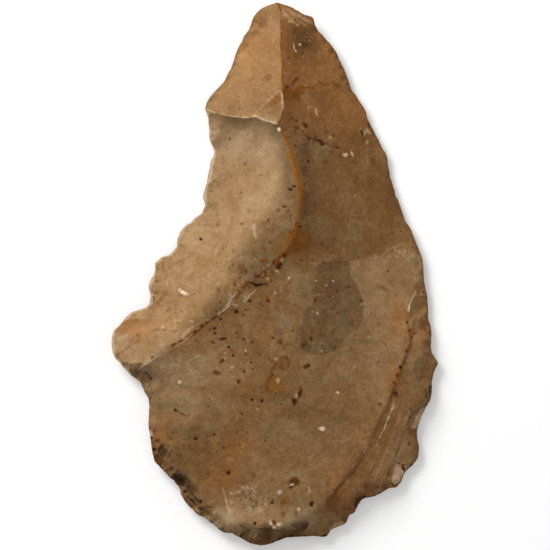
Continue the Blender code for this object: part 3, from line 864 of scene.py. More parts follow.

# %% Soil, dark marks and painted shade lines
DARK = {
    1: [(230, 139, 1), (245, 164, 1), (201, 239, 1.5, 1.4), (196, 438, 1.6, 1.3),
        (176, 410, 1.7, 1.1, -30), (244, 371, 1.2, 1.1), (236.5, 311.5, 1.8, 1.5, -30),
        (221, 319, 1, 1.1), (154, 449, 1.8, 1.6), (400, 367, 1.2, 1.8), (200.5, 501, 1.8),
        (201, 508, 1.6, 1.4), (280, 538, 2.4, 1.6), (325, 536, 2.6, 1.6), (320, 141.5, 1.9, 1.4, -35)],
    0.95: [(295, 401, 1.7, 3.6, -10)],
    0.9: [(229, 472, 2.2, 2, 20), (255, 522.5, 1.3, 1.2), (308, 162, 1.2, 1.1), (252, 399, 1.7, 1.6),
        (262, 400, 1.5), (229, 347, 1.4, 1.3), (244, 339, 1.3, 1.2), (215, 328, 1.7, 1.1),
        (151, 438, 1.8, 1.6), (157, 281.5, 1.1, 0.9), (315, 300, 1), (396, 394, 1.5, 2.4, 10),
        (311.5, 503, 1.6, 2.6, -30), (272, 502, 1.3, 1), (290, 190, 1.9, 1, -30), (300, 227, 1.4, 1.2),
        (250, 301, 1.5, 1.2), (323, 144.5, 1.3, 1.4), (289, 59, 0.9)],
    0.8: [(241, 193, 0.8), (239, 381, 1.6), (242, 413, 1.2, 1.1), (224, 447, 1.5, 1.1), (239.5, 444, 1),
        (223, 338.5, 3.4, 1.3, 8), (252, 342, 1.2), (233.5, 355, 1.3, 1.2), (251, 362, 1.1, 1),
        (215, 333, 1.3, 1.1), (213, 342, 1.2, 1.1), (293, 399, 1.6, 2), (309, 365, 1.2),
        (311, 338, 1, 1.6, 10), (304, 345, 1, 2.4, -40), (349, 287, 0.9), (337, 291, 0.9),
        (338, 302, 0.8), (361, 301, 0.9), (208, 506.5, 4.5, 0.6), (272, 534.5, 7, 1.3, 8),
        (294, 187, 1.8, 1, 20), (268, 221, 2, 1, 50), (279.5, 267.5, 1, 0.8), (309, 139, 1.1, 2),
        (315.5, 140.5, 2.1, 1.2)],
    0.75: [(300, 393, 1.6, 4.2, -18), (305, 126, 1.5, 2.9, 38)],
    0.7: [(222, 360.5, 2.4, 1.3, 40), (182, 413, 3.6, 0.6, -28), (237, 432, 0.8), (247, 432, 0.9, 0.8),
        (214, 434, 1, 1.2), (291, 486.5, 2.4, 1.2, 20), (306, 366, 2.4, 1.9, 35), (388, 271, 1),
        (272.5, 499, 0.8, 1), (295, 531, 6, 1.2, 5), (284, 207, 1.9, 1), (278, 211, 1.8, 1, 20),
        (242, 224, 1, 0.9), (287, 88, 2.4, 1.3, 25), (292, 119, 1.1, 1), (296.5, 121.5, 1.5, 0.9, 20),
        (332, 152.5, 0.8, 0.9), (362, 133, 0.9, 2, 25), (369, 125, 0.8, 2.2), (275, 447, 1)],
    0.6: [(217, 372.5, 3.8, 2, -20), (242, 429, 0.9), (200, 428, 0.9), (245.5, 354, 1.1, 1.2),
        (288, 212, 1.2, 0.8), (296.5, 128.5, 2.4, 1.4, -10), (303, 132, 1, 0.8), (323.5, 162.5, 1.2, 1),
        (326.5, 162.5, 1.3, 1.2), (221, 302, 1), (209, 406, 0.8)],
    0.5: [(409, 443, 1.5, 1.8)],
    0.4: [(331, 506, 3, 4, 20), (326, 133, 1.4, 1.6), (337, 86, 4, 1.8, -20), (219, 290, 1.6, 1.2),
        (212, 392, 0.7)],
    0.35: [(157, 329.5, 3.2, 1, 12)],
    0.3: [(165, 329.5, 2, 1), (175, 331, 2.4, 1, 10)],
    0.25: [(268.5, 78, 2.8, 3.4, -20)],
    0.15: [(261.7, 25.5, 3, 2.6)]}
DARK_SCATTER = [
    (318, 140, 34, 12, 14, 0.7, 0.8, 41), (250, 335, 70, 60, 26, 0.75, 0.8, 42),
    (245, 494, 9, 8, 24, 0.6, 0.6, 43), (255, 502, 9, 8, 24, 0.6, 0.6, 40),
    (190, 430, 50, 60, 10, 0.7, 0.6, 44), (255, 280, 44, 20, 12, 0.9, 0.7, 45),
    (370, 420, 60, 90, 12, 0.8, 0.6, 46), (240, 262, 18, 14, 14, 1.1, 0.4, 47),
    (320, 200, 50, 90, 26, 0.7, 0.6, 48), (335, 310, 40, 60, 16, 0.7, 0.7, 49),
    (290, 440, 90, 90, 20, 0.7, 0.6, 50)]
DARK_AND_SHADE_LINES = [
    ([(240, 538), (246, 531), (256, 528), (268, 528), (282, 530)], 0.6, 0.6),
    ([(262, 536), (275, 534), (290, 533), (296, 531)], 1.4, 0.8),
    ([(402, 396), (396, 415), (388, 436), (380, 455), (368, 478)], 0.5, 0.4),
    ([(154, 446), (153, 452), (156, 460), (161, 468)], 1, 0.9),
    ([(163, 474), (170, 479), (177, 487)], 0.8, 0.8), ([(183, 500), (190, 508), (198, 515)], 0.7, 0.8),
    ([(210, 523), (218, 529), (226, 533)], 0.7, 0.7),
    # Partly a dark mark, partly painted shade: the next line runs along the dark step's lower side, away
    # from the lamp.
    ([(287, 138), (300, 136), (309, 137), (318, 141), (325, 144), (335, 148), (343, 151)], 0.6, 0.65),
    ([(249, 282), (257, 285), (263, 284)], 1, 1), ([(255, 276), (262, 277)], 0.6, 0.8),
    ([(394, 386), (390, 400), (387, 415), (380, 434), (372, 446), (362, 460), (352, 473), (342, 483),
      (335, 491)], 0.7, 0.5), ([(409, 407), (411, 410), (413.5, 413.5)], 0.5, 0.8),
    ([(397.5, 462), (402, 464), (407, 465)], 0.8, 1), ([(403, 465), (404, 470)], 1.2, 1),
    ([(412, 464), (409, 469)], 1, 0.9),
    ([(411, 415), (404, 433), (398, 449), (391, 466), (385, 480)], 0.7, 0.5),
    ([(322, 243), (324, 247), (329, 248)], 0.7, 0.7),
    ([(184, 491), (190, 491), (196, 496), (200, 503)], 0.8, 0.9),
    ([(187, 497), (192, 499), (197, 505)], 0.6, 0.8), ([(140, 369), (147, 373), (152, 379)], 0.8, 0.7),
    ([(136, 372), (146, 381), (152, 389)], 0.5, 0.5), ([(163, 444), (170, 447), (173, 452)], 0.5, 0.6),
    ([(211, 320), (218, 317), (224, 312)], 0.6, 0.6), ([(153, 296), (154, 300)], 0.7, 0.8),
    # The first line here is painted shade along the lower ridge, where it falls away from the lamp.
    (RIDGE_HOLLOW[16:], 0.55, 0.5), ([(301, 386), (299, 396), (295, 403)], 1, 0.6),
    ([(312, 329), (311, 337), (306, 343), (303, 347)], 0.6, 0.6)]
DARK_PATCHES = [
    ([(152, 449), (155, 455), (163, 459), (167, 457), (163, 463), (160, 470), (154, 464),
      (151, 456)], 0.5), ([(170, 477), (175, 475), (181, 473), (184, 479), (185, 486), (178, 485)], 0.9),
    ([(262, 531), (284, 529), (301, 531), (302, 536), (286, 537), (268, 541), (252, 542),
      (256, 536)], 0.45), ([(325, 498), (335, 492), (340, 499), (336, 512), (327, 510)], 0.35)]

# %% Pale wear and painted highlights
STEP_LINE = [
    (205, 109), (215, 112), (223, 115), (239, 117.6), (247, 118), (255, 117), (263, 120), (270, 123),
    (276, 125)]
PALE = {
    1: [(183, 292, 3.6, 1, -25), (181.5, 291, 1, 1.8, 30)],
    0.9: [(279, 130, 1.2, 1.4), (298.5, 508, 1.1, 1.3), (292, 484, 1.7, 0.9, 40)],
    0.85: [(322, 428, 2.6, 2), (270.5, 522, 1.2, 2, 20), (279, 523.5, 1.9, 1.7)],
    0.8: [(300, 45, 0.9), (274.5, 526.5, 1.2, 1.1), (352, 154, 0.7, 1.9, 25), (255, 260, 1),
        (282, 260, 0.9), (289, 278, 1), (250, 281, 1.2, 0.9), (337, 392, 1.1, 1), (316, 281, 0.7),
        (333, 281, 0.8), (294.5, 398.5, 1.6, 1)],
    0.75: [(345, 155, 2.1, 1.7)],
    0.7: [(180, 381.5, 1.8, 1.6), (279.5, 491.5, 1.9, 1.8), (245.5, 350, 1.2, 1), (317, 313, 0.8),
        (361, 304, 0.8), (296, 396, 1.6, 2), (163, 327, 1.3, 0.8, 45), (192, 321, 1.2, 0.8)],
    0.6: [(151, 433, 1.6, 2.4), (316, 112, 0.8, 2.4, 15), (225.5, 352.5, 0.9, 0.8),
        (232, 366.5, 0.9, 0.8), (167, 283, 0.7, 1.8, 15), (218, 283, 0.9), (368, 131, 0.7, 1.8, 30)],
    0.5: [(254, 229, 1.2, 3.4, 15), (255, 235, 0.9, 3.4, 15), (330, 138, 1.1, 0.9), (225, 358, 1.1, 1),
        (278, 380, 1.4, 2.4), (276.5, 358, 1.8, 0.9, 30), (275, 293, 1.3, 1.1), (164, 344, 2.8, 1.1, 10),
        (178, 320, 2.4, 0.7, 5), (367, 142, 0.8, 1.3), (309, 488, 0.8, 2.2, 5)],
    0.4: [(308, 107, 0.6, 2.4, 5), (258, 408.5, 1.6, 0.9), (288, 17, 0.5, 3, 50), (301, 23, 0.5, 3, 55)],
    0.25: [(228, 519, 4.5, 6)]}
PALE[0.45] = [(289 + 5.2 * k, 12 + 2.6 * k, 0.5, 3.2, 52) for k in range(5)]
PALE_SCATTER = [
    (245, 494, 11, 9, 60, 0.8, 0.6, 51), (256, 503, 11, 8, 60, 0.8, 0.6, 50),
    (180, 290, 44, 44, 18, 0.7, 0.5, 52), (398, 254, 16, 6, 18, 0.8, 0.45, 53),
    (415, 257, 8, 6, 10, 0.8, 0.45, 54), (330, 300, 60, 70, 20, 0.6, 0.5, 55),
    (214, 516, 14, 8, 16, 1.1, 0.5, 56), (259, 271, 18, 12, 18, 0.9, 0.6, 59),
    (238, 289, 12, 9, 12, 0.9, 0.6, 60), (290, 18, 10, 10, 14, 0.8, 0.6, 57),
    (366, 134, 5, 8, 10, 0.8, 0.5, 58)]
PALE_AND_HIGHLIGHT_LINES = [
    ([(216, 522), (224, 516), (230, 508)], 0.7, 0.3), ([(224, 529), (231, 519), (235, 509)], 0.7, 0.3),
    ([(350, 262), (365, 260), (380, 257), (392, 248), (405, 244), (415, 246)], 0.6, 0.3),
    ([(404, 402), (398, 420), (391, 440), (383, 460), (372, 482)], 0.5, 0.35),
    ([(253, 29), (256, 42), (254, 58), (248, 72)], 0.4, 0.3),
    # The lines along the step and the ridges, from STEP_LINE to the lower ridge, are partly wear and partly
    # painted highlight where those edges catch the lamp.
    ([(263, 20), (262, 34), (266, 50), (264, 70)], 0.4, 0.25), (STEP_LINE, 0.7, 0.7),
    ([(254, 116), (262, 107.5), (268, 101.5), (277, 93), (281, 92)], 0.6, 0.6),
    ([(282, 93), (283, 100), (282, 112), (279, 120), (273, 123)], 0.7, 0.7), (RIDGE_TIP[5:], 0.5, 0.6),
    ([(258, 288), (252, 293), (247, 299), (236, 306), (231, 303)], 0.6, 0.7),
    (RIDGE_HOLLOW[18:21], 0.9, 0.95), (RIDGE_HOLLOW[22:], 0.55, 0.85),
    ([(236, 293), (231, 299), (229, 306), (224, 310)], 0.9, 0.9),
    ([(396, 393), (391, 410), (386, 422), (380, 436), (376, 446)], 0.6, 0.75),
    ([(367, 446), (354, 464), (338, 482), (331, 490)], 0.8, 0.5),
    ([(408, 413), (401, 432), (395, 448), (388, 465), (382, 480), (375, 495)], 0.45, 0.4),
    ([(416, 292), (411, 300), (408, 312)], 0.7, 0.8), ([(313, 296), (325, 293)], 0.5, 0.4),
    ([(213, 230), (228, 228), (240, 226), (250, 227)], 0.4, 0.4),
    ([(201, 214), (202, 228), (201, 240)], 0.4, 0.4), ([(172, 446), (166, 456), (160, 470)], 0.6, 0.5),
    ([(203, 315), (206, 319), (211, 319)], 0.7, 0.5), ([(183, 336), (189, 330), (193, 327)], 0.8, 0.5),
    ([(162, 303), (173, 305)], 0.5, 0.4), ([(135, 382), (142, 385), (147, 384)], 0.7, 0.6),
    ([(293, 45), (296, 52)], 0.6, 0.8), ([(190, 360), (196, 357), (201, 354)], 0.7, 0.35),
    ([(223, 487), (226, 498), (227, 504), (230, 512)], 1.6, 0.55)]
PALE_PATCHES = [
    ([(246, 262), (257, 258), (262, 266), (256, 276), (248, 283), (242, 277)], 0.18),
    ([(424, 406), (419, 410), (415, 418), (412, 427), (416, 429), (420, 422), (423, 414)], 0.55),
    ([(396, 463), (401, 467), (404, 472), (399, 482), (394, 484), (391, 480), (394, 470)], 0.62),
    ([(238, 488), (244, 486), (252, 491), (259, 497), (262, 503), (258, 508), (249, 506),
      (242, 501)], 0.22), ([(335, 523), (341, 521), (344, 524), (337, 528), (331, 531), (329, 528)], 0.4),
    ([(252, 527), (262, 529), (266, 535), (258, 540), (248, 536)], 0.22),
    ([(114, 352), (118, 336), (128, 334), (129, 341), (124, 349), (117, 352)], 0.32)]
STAINS = {"rust": (all_blots(RUST, RUST_SCATTER), RUST_LINES, RUST_PATCHES, 61),
          "amber": (all_blots(AMBER, AMBER_SCATTER), AMBER_LINES, AMBER_PATCHES, 62),
          "dark": (all_blots(DARK, DARK_SCATTER), DARK_AND_SHADE_LINES, DARK_PATCHES, 63),
          "pale": (all_blots(PALE, PALE_SCATTER), PALE_AND_HIGHLIGHT_LINES, PALE_PATCHES, 65)}
print("blots of each stain:", {name: len(tables[0]) for name, tables in STAINS.items()})

# %% [markdown]
# The last tables hold the broad differences of the skin: soft ellipses that make it lighter, darker,
# greyer or more orange, and the two patches whose borders are seen, the glassy stone and the lighter
# skin right of it. The darker ellipses just right of the ridge below the tip are partly painted shade,
# on the slope that falls away from the lamp.

# %% The broad areas
GLASSY_PATCH = [
    (318, 263), (319, 270), (314, 280), (312, 290), (313, 304), (307, 308), (303, 318), (300, 330),
    (300, 348), (308, 354), (322, 355), (335, 350), (341, 344), (350, 333), (358, 328), (363, 317),
    (362, 303), (361, 295), (356, 285), (350, 275), (349, 262), (335, 259)]
LIGHT_PATCH = [
    (350, 262), (365, 261), (380, 260), (388, 256), (394, 251), (402, 249), (415, 252), (422, 256),
    (425, 276), (418, 292), (410, 305), (405, 330), (398, 352), (384, 350), (366, 330), (363, 317),
    (362, 303), (356, 285), (350, 275)]
CREST_LINE = [
    (204, 108), (228, 116), (252, 119), (268, 128), (276, 150), (281, 178), (275, 204), (260, 221),
    (246, 236), (237, 254), (226, 282), (210, 302), (192, 322), (168, 344)]
PATINA_BORDER = [(292, 248), (318, 254), (350, 262), (372, 258), (392, 247), (410, 243), (430, 236)]
BROAD_TONES = [
    (272, 109, 9, 9, -0.2), (417, 338, 6, 6, 0.1), (345, 238, 22, 10, 0.07), (283, 314, 13, 7, 0.07),
    (270, 332, 5, 7, 0.09), (398, 318, 7, 24, 0.05), (233, 500, 6, 14, 0.2), (262, 16, 16, 12, -0.14),
    (246, 64, 7, 16, 0.1), (264, 98, 9, 14, -0.05), (202, 388, 22, 3, -0.13), (208, 407, 20, 10, 0.05),
    (146, 371, 8, 8, 0.16), (405, 440, 10, 30, 0.12), (365, 430, 9, 22, 0.06), (340, 465, 9, 16, 0.06),
    (291, 52, 9, 34, -0.12), (296, 16, 14, 10, 0.08), (200, 375, 46, 22, 0.05), (260, 514, 40, 13, 0.22),
    (226, 518, 14, 10, 0.32), (185, 450, 38, 38, -0.13), (300, 400, 40, 40, -0.11),
    (280, 470, 40, 26, 0.05), (375, 390, 26, 40, 0.07), (235, 285, 14, 16, 0.1), (290, 280, 24, 20, 0.06),
    # (306, 165) and (305, 212) darken the slope right of the ridge: partly patina, partly painted shade.
    (325, 75, 18, 12, 0.06), (306, 165, 10, 30, -0.17), (305, 212, 9, 34, -0.15), (288, 165, 7, 28, -0.2),
    (262, 330, 12, 14, 0.07), (240, 105, 16, 8, -0.08), (302, 34, 12, 18, -0.2), (185, 340, 24, 10, 0.08),
    (352, 482, 6, 12, -0.1), (395, 465, 10, 12, 0.1), (250, 62, 10, 14, 0.06), (418, 350, 14, 40, 0.13),
    (397, 466, 14, 24, 0.14), (388, 283, 20, 26, 0.04), (330, 503, 18, 14, -0.06),
    (307, 45, 11, 17, -0.3), (205, 345, 40, 10, -0.08), (170, 340, 26, 14, 0.06),
    (190, 332, 30, 10, 0.05), (172, 405, 22, 3.5, -0.13), (196, 431, 30, 6, -0.11),
    (285, 120, 6, 20, -0.06)]
HONEY_CLOUDS = [
    (235, 285, 12, 14, 0.6), (398, 318, 9, 26, 0.7), (390, 392, 9, 26, 0.3), (340, 478, 14, 22, 0.4),
    (157, 440, 12, 20, 0.6), (250, 60, 12, 20, 0.3), (240, 446, 18, 16, 0.5), (226, 474, 12, 18, 0.5),
    (290, 70, 12, 30, 0.4), (360, 440, 12, 40, 0.3), (250, 388, 5, 7, 0.4), (300, 245, 14, 14, 0.5),
    (292, 96, 12, 8, 0.5), (395, 375, 8, 22, 0.4), (160, 440, 10, 12, 0.3), (205, 480, 20, 14, 0.25),
    (330, 478, 10, 14, 0.35), (375, 450, 16, 40, 0.25), (266, 516, 24, 9, 0.3), (332, 305, 24, 34, 0.2),
    (255, 50, 22, 34, 0.25), (350, 110, 20, 40, 0.25), (420, 320, 10, 40, 0.2), (345, 500, 16, 16, 0.35),
    (140, 332, 18, 14, 0.4), (307, 45, 12, 18, 0.9), (262, 30, 12, 20, 0.3)]
GREY_CLOUDS = [
    (208, 406, 24, 16, 0.35), (307, 45, 14, 20, -0.35), (345, 238, 24, 14, 0.5), (226, 519, 16, 10, 0.5),
    (283, 316, 14, 10, 0.3), (240, 140, 36, 18, 0.5), (310, 150, 30, 12, 0.35), (418, 362, 14, 18, 0.4),
    (170, 372, 34, 14, 0.8), (405, 445, 10, 30, 0.3), (190, 404, 40, 6, 0.3), (270, 430, 30, 14, 0.2),
    (255, 494, 14, 8, 0.3), (300, 520, 30, 10, 0.4), (330, 305, 34, 46, 0.3), (235, 275, 10, 14, 0.3)]

# %% Painting the values on each grid
CLOUD_STRENGTH = 1.3
RIM_BAND = 2.2
WEAR_SIZE = 0.0022
WORN_RIM_STRENGTH = 0.65
SHADE_REACH = 17
SHADE_FROM_X, SHADE_FADE = 206, 22
TIP_HUE_TO_Y, TIP_HUE_FADE = 95, 50
BUTT_FROM_Y, BUTT_FADE = 512, 12
CREASE_FADE = 3


def stains(points):
    """The stains that both upper grids share, painted shade and highlight lines among them, as named depths
    and strengths at each point.
    """
    values = {}
    for name, (table, lines, patches, seed) in STAINS.items():
        layers = [blots(points, table, seed)]
        layers += [lined(points, *row, seed + 10 + k) for k, row in enumerate(lines)]
        layers += [patch(points, *row) for row in patches]
        values[name], values[name + "_strength"] = deepest(layers)
    return values


def skin_values(points):
    """How light, how orange and how grey the broad areas are, and the fine drift of the tone."""
    return {"tone": 0.05 * drift(points, 0.012, 71, layers=4) + soft_ellipses(points, BROAD_TONES),
            "honey": CLOUD_STRENGTH * soft_ellipses(points, HONEY_CLOUDS),
            "greyed": CLOUD_STRENGTH * soft_ellipses(points, GREY_CLOUDS)}


def past_line(points, line, blend):
    """0 on the right of a line going along it, 1 on its left, with a soft change of that width between."""
    distance, side, _ = nearest(points, placed(line))
    return ease(0.5 + np.where(side > 0, distance, -distance) / (blend * UNIT))


def left_values(grid):
    """Lighter on the tip and the hollow's slope, partly patina and partly painted light; grey brown beside
    the ridge, and painted shade below the step.
    """
    points = grid[..., :2]
    values = stains(points) | skin_values(points)
    in_hollow = (np.arange(grid.shape[0]) > TIP_ROWS)[:, None]
    on_shelf = past_line(points, CREST_LINE, blend=14) * in_hollow
    below_step = distance_to_points(points, flowing(STEP_LINE, 60)) / UNIT
    off_corner = ease((points[..., 0] - placed((SHADE_FROM_X, 0))[0]) / (SHADE_FADE * UNIT))
    # Painted shade below the step, where the hollow's wall turns away from the lamp: darker and greyer.
    in_shade = np.exp(-(below_step / SHADE_REACH) ** 2) * in_hollow * off_corner
    # The base tone is higher here than on the back: partly a lighter patina, partly painted light on the
    # slopes that face the lamp.
    values["tone"] += 0.70 + 0.02 * in_hollow - 0.16 * on_shelf - 0.30 * in_shade
    values["greyed"] += 0.10 + 0.30 * in_hollow + 0.10 * on_shelf + 0.3 * in_shade
    values["honey"] += 0.08 * ~in_hollow
    from_rim = np.linalg.norm(points - points[:, :1], axis=-1) / UNIT
    wear = as_depth(RIM_BAND * (1 + 1.3 * drift(points, WEAR_SIZE, 77, layers=2)) - from_rim)
    deeper = (wear > values["pale"]) & in_hollow
    values["pale"] = np.where(deeper, wear, values["pale"])
    values["pale_strength"] = np.where(deeper, WORN_RIM_STRENGTH, values["pale_strength"])
    values["tone"] -= 0.15 * np.exp(-(from_rim / RIM_BAND) ** 2) * ~in_hollow
    values["glassy"] = np.zeros(from_rim.shape)
    values["fresh"], values["shade"] = grid[..., 3], grid[..., 4]
    return values


def right_values(grid):
    """Honey at the tip, dark above the patina's border, mid brown below it, darkest on the butt."""
    points = grid[..., :2]
    values = stains(points) | skin_values(points)
    above = past_line(points, PATINA_BORDER, blend=12)
    beyond, below_crease, on_line = nearest(points, placed(LOWER_RIGHT_CREASE))
    past_crease = ease(np.where(below_crease > 0, beyond, 0) / (CREASE_FADE * UNIT))
    on_butt = ease((sheet_y(on_line[..., 1]) - BUTT_FROM_Y) / BUTT_FADE) * past_crease
    at_tip = 1 - ease((sheet_y(points[..., 1]) - TIP_HUE_TO_Y) / TIP_HUE_FADE)
    values["glassy"] = patch(points, GLASSY_PATCH, 1, wander=0.6)[0]
    lighter = ease(2 * patch(points, LIGHT_PATCH, 1)[0] - 0.5)
    from_rim = np.linalg.norm(points - points[:, -1:], axis=-1) / UNIT
    values["tone"] += 0.50 + 0.12 * at_tip - 0.08 * above + 0.09 * lighter
    values["tone"] -= 0.22 * on_butt + 0.04 * past_crease
    values["tone"] -= 0.14 * np.exp(-(from_rim / RIM_BAND) ** 2)
    values["honey"] += 0.9 * at_tip + 0.35 * above + 0.12 * (1 - above) + 0.25 * past_crease
    values["greyed"] += 0.15 + 0.15 * (1 - above) + 0.3 * on_butt
    values["fresh"], values["shade"] = grid[..., 3], grid[..., 4]
    return values


def lower_values(grid):
    """An even brown patina on the face below, with a scatter of rust and soil."""
    points = grid[..., :2]
    values = {name: np.zeros(points.shape[:-1]) for name in PAINTED_NAMES}
    for name, count, size, seed in (("rust", 40, 3.5, 81), ("dark", 60, 2.5, 83)):
        spots = scattered(275, 300, 160, 260, count, size, 0.6, seed)
        values[name], values[name + "_strength"] = blots(points, spots, seed + 1)
    values["tone"] = 0.50 + 0.12 * drift(points, 0.02, 85, layers=4)
    values["greyed"] += 0.3
    return values


PAINTED = [left_values(LEFT_GRID), right_values(RIGHT_GRID)]
PAINTED_NAMES = list(PAINTED[0])
PAINTED.append(lower_values(LOWER_GRID))
print("painted values:", PAINTED_NAMES)
tones = [(values["tone"].min(), values["tone"].max()) for values in PAINTED]
print("darkest and lightest patina:", np.round(tones, 2).tolist())

# %% [markdown]
# The three grids become one mesh. Their points are listed one grid after another, the quads are
# index arithmetic on the rows and columns, and points that share a place are then welded, which
# closes the stone along its rims and its ridge.

# %% One closed stone
WELD_DISTANCE = 2e-6
SHARP_ANGLE = math.radians(32)


def quads(rows, columns, first, upwards):
    """Corner numbers of each quad of a grid whose first point has the number first."""
    number = first + np.arange(rows * columns).reshape(rows, columns)
    around = [number[:-1, :-1], number[1:, :-1], number[1:, 1:], number[:-1, 1:]]
    loop = np.stack(around if upwards else around[::-1], -1)
    return loop.reshape(-1, 4)


def stone_mesh():
    """All three grids in one mesh, with the painted values as attributes, welded and closed."""
    grids = [LEFT_GRID, RIGHT_GRID, LOWER_GRID]
    firsts = np.cumsum([0] + [g.shape[0] * g.shape[1] for g in grids])
    points = np.concatenate([g[..., :3].reshape(-1, 3) for g in grids])
    upwards = (True, True, False)
    faces = np.concatenate([quads(*g.shape[:2], first, up) for g, first, up in zip(grids, firsts, upwards)])
    mesh = bpy.data.meshes.new("scraper_stone")
    mesh.from_pydata(points, [], faces)
    for name in PAINTED[0]:
        values = np.concatenate([painted[name].reshape(-1) for painted in PAINTED]).clip(0, 1)
        mesh.attributes.new(name, "FLOAT", "POINT").data.foreach_set("value", values.astype(np.float32))
    welded = bmesh.new()
    welded.from_mesh(mesh)
    bmesh.ops.remove_doubles(welded, verts=welded.verts, dist=WELD_DISTANCE)
    bmesh.ops.dissolve_degenerate(welded, edges=welded.edges, dist=WELD_DISTANCE / 2)
    open_edges = sum(1 for edge in welded.edges if len(edge.link_faces) != 2)
    welded.to_mesh(mesh)
    welded.free()
    mesh.shade_smooth()
    mesh.set_sharp_from_angle(angle=SHARP_ANGLE)
    print("faces:", len(mesh.polygons), " open edges:", open_edges)
    return mesh


STONE = bpy.data.objects.new("scraper_stone", stone_mesh())
bpy.context.scene.collection.objects.link(STONE)
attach(STONE, "root")
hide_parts("flint_flake")

# %% [markdown]
# Flint that has lain in iron-rich ground gets a patina: a skin stained brown, a little waxy. One
# material makes all of it. A colour ramp turns the painted tone, roughened by noise, into the browns
# of the skin. Rust, soil with painted shade lines, wear with painted highlights, fresh stone and glassy
# stone are then mixed over it in turn.

# %% Helpers for the material's nodes
flint = bpy.data.materials.new("patinated_flint_skin")
flint.use_nodes = True
nodes, links = flint.node_tree.nodes, flint.node_tree.links
shader = nodes["Principled BSDF"]
where = nodes.new("ShaderNodeTexCoord").outputs["Object"]


def painted(name):
    """The painted value of that name."""
    node = nodes.new("ShaderNodeAttribute")
    node.attribute_name = name
    return node.outputs["Fac"]


def noise(scale, detail, roughness=0.55, distortion=0.0):
    """Noise with so many lumps to the metre, from 0 to 1."""
    node = nodes.new("ShaderNodeTexNoise")
    links.new(where, node.inputs["Vector"])
    node.inputs["Scale"].default_value = scale
    node.inputs["Detail"].default_value = detail
    node.inputs["Roughness"].default_value = roughness
    node.inputs["Distortion"].default_value = distortion
    return node.outputs["Fac"]


def worked_out(operation, a, b):
    """One step of arithmetic on sockets or numbers."""
    node = nodes.new("ShaderNodeMath")
    node.operation = operation
    for socket, value in zip(node.inputs, (a, b)):
        if isinstance(value, (int, float)):
            socket.default_value = value
        else:
            links.new(value, socket)
    return node.outputs[0]


def plus(a, b):
    """The sum of two sockets or numbers."""
    return worked_out("ADD", a, b)


def minus(a, b):
    """The first less the second."""
    return worked_out("SUBTRACT", a, b)


def times(a, b):
    """The product of two sockets or numbers."""
    return worked_out("MULTIPLY", a, b)


def swing(value, amount):
    """A noise's swing about its middle, times an amount."""
    return times(minus(value, 0.5), amount)


def between_values(value, low_end, high_end, low_result=0.0, high_result=1.0):
    """A value stretched so that low_end gives low_result and high_end gives high_result, and held there."""
    node = nodes.new("ShaderNodeMapRange")
    node.interpolation_type = "SMOOTHSTEP"
    links.new(value, node.inputs["Value"])
    node.inputs["From Min"].default_value = low_end
    node.inputs["From Max"].default_value = high_end
    node.inputs["To Min"].default_value = low_result
    node.inputs["To Max"].default_value = high_result
    return node.outputs["Result"]


def specks(density, radius, share):
    """Crisp little spots: within a radius of a scatter of points, but only for a share of the points."""
    node = nodes.new("ShaderNodeTexVoronoi")
    links.new(where, node.inputs["Vector"])
    node.inputs["Scale"].default_value = density
    colour = nodes.new("ShaderNodeSeparateColor")
    links.new(node.outputs["Color"], colour.inputs["Color"])
    size = radius * density
    spot = between_values(node.outputs["Distance"], 0.6 * size, 1.2 * size, 1.0, 0.0)
    return times(spot, worked_out("LESS_THAN", colour.outputs["Red"], share))


def hairlines(grain, width):
    """Thin winding lines: the places where a noise passes its middle value."""
    off = worked_out("ABSOLUTE", minus(grain, 0.5), 0.0)
    return between_values(off, 0.0, width, 1.0, 0.0)


def coloured_by(value, stops):
    """A colour ramp through (place, colour) stops."""
    node = nodes.new("ShaderNodeValToRGB")
    ramp = node.color_ramp
    while len(ramp.elements) < len(stops):
        ramp.elements.new(0.5)
    for element, (place, colour) in zip(ramp.elements, stops):
        element.position = place
        element.color = (*colour, 1)
    links.new(value, node.inputs["Fac"])
    return node.outputs["Color"]


def laid_over(under, colour, amount):
    """A colour mixed over another by an amount."""
    node = nodes.new("ShaderNodeMix")
    node.data_type = "RGBA"
    links.new(amount, node.inputs["Factor"])
    links.new(under, node.inputs["A"])
    if isinstance(colour, tuple):
        node.inputs["B"].default_value = (*colour, 1)
    else:
        links.new(colour, node.inputs["B"])
    return node.outputs["Result"]


def cut_off(name, grain, amount, softness, strength):
    """A painted depth cut off at one half, its border broken up by noise, times a strength."""
    uneven = plus(painted(name), swing(grain, amount))
    return times(between_values(uneven, 0.5 - softness, 0.5 + softness), strength)


# %% [markdown]
# The skin's texture has five sizes, as a close look at the real stone shows: a grain of a quarter of
# a millimetre, lumps of half a millimetre, mottling of a millimetre or two, clouds of half a
# centimetre, and broad changes of hue.

# %% The patinated flint
grain = noise(4000, detail=2, roughness=0.6)
fine = noise(1900, detail=3, roughness=0.65)
middling = noise(760, detail=4, roughness=0.6)
cloudy = noise(210, detail=4, roughness=0.6, distortion=0.5)
broad = noise(60, detail=4, distortion=0.4)

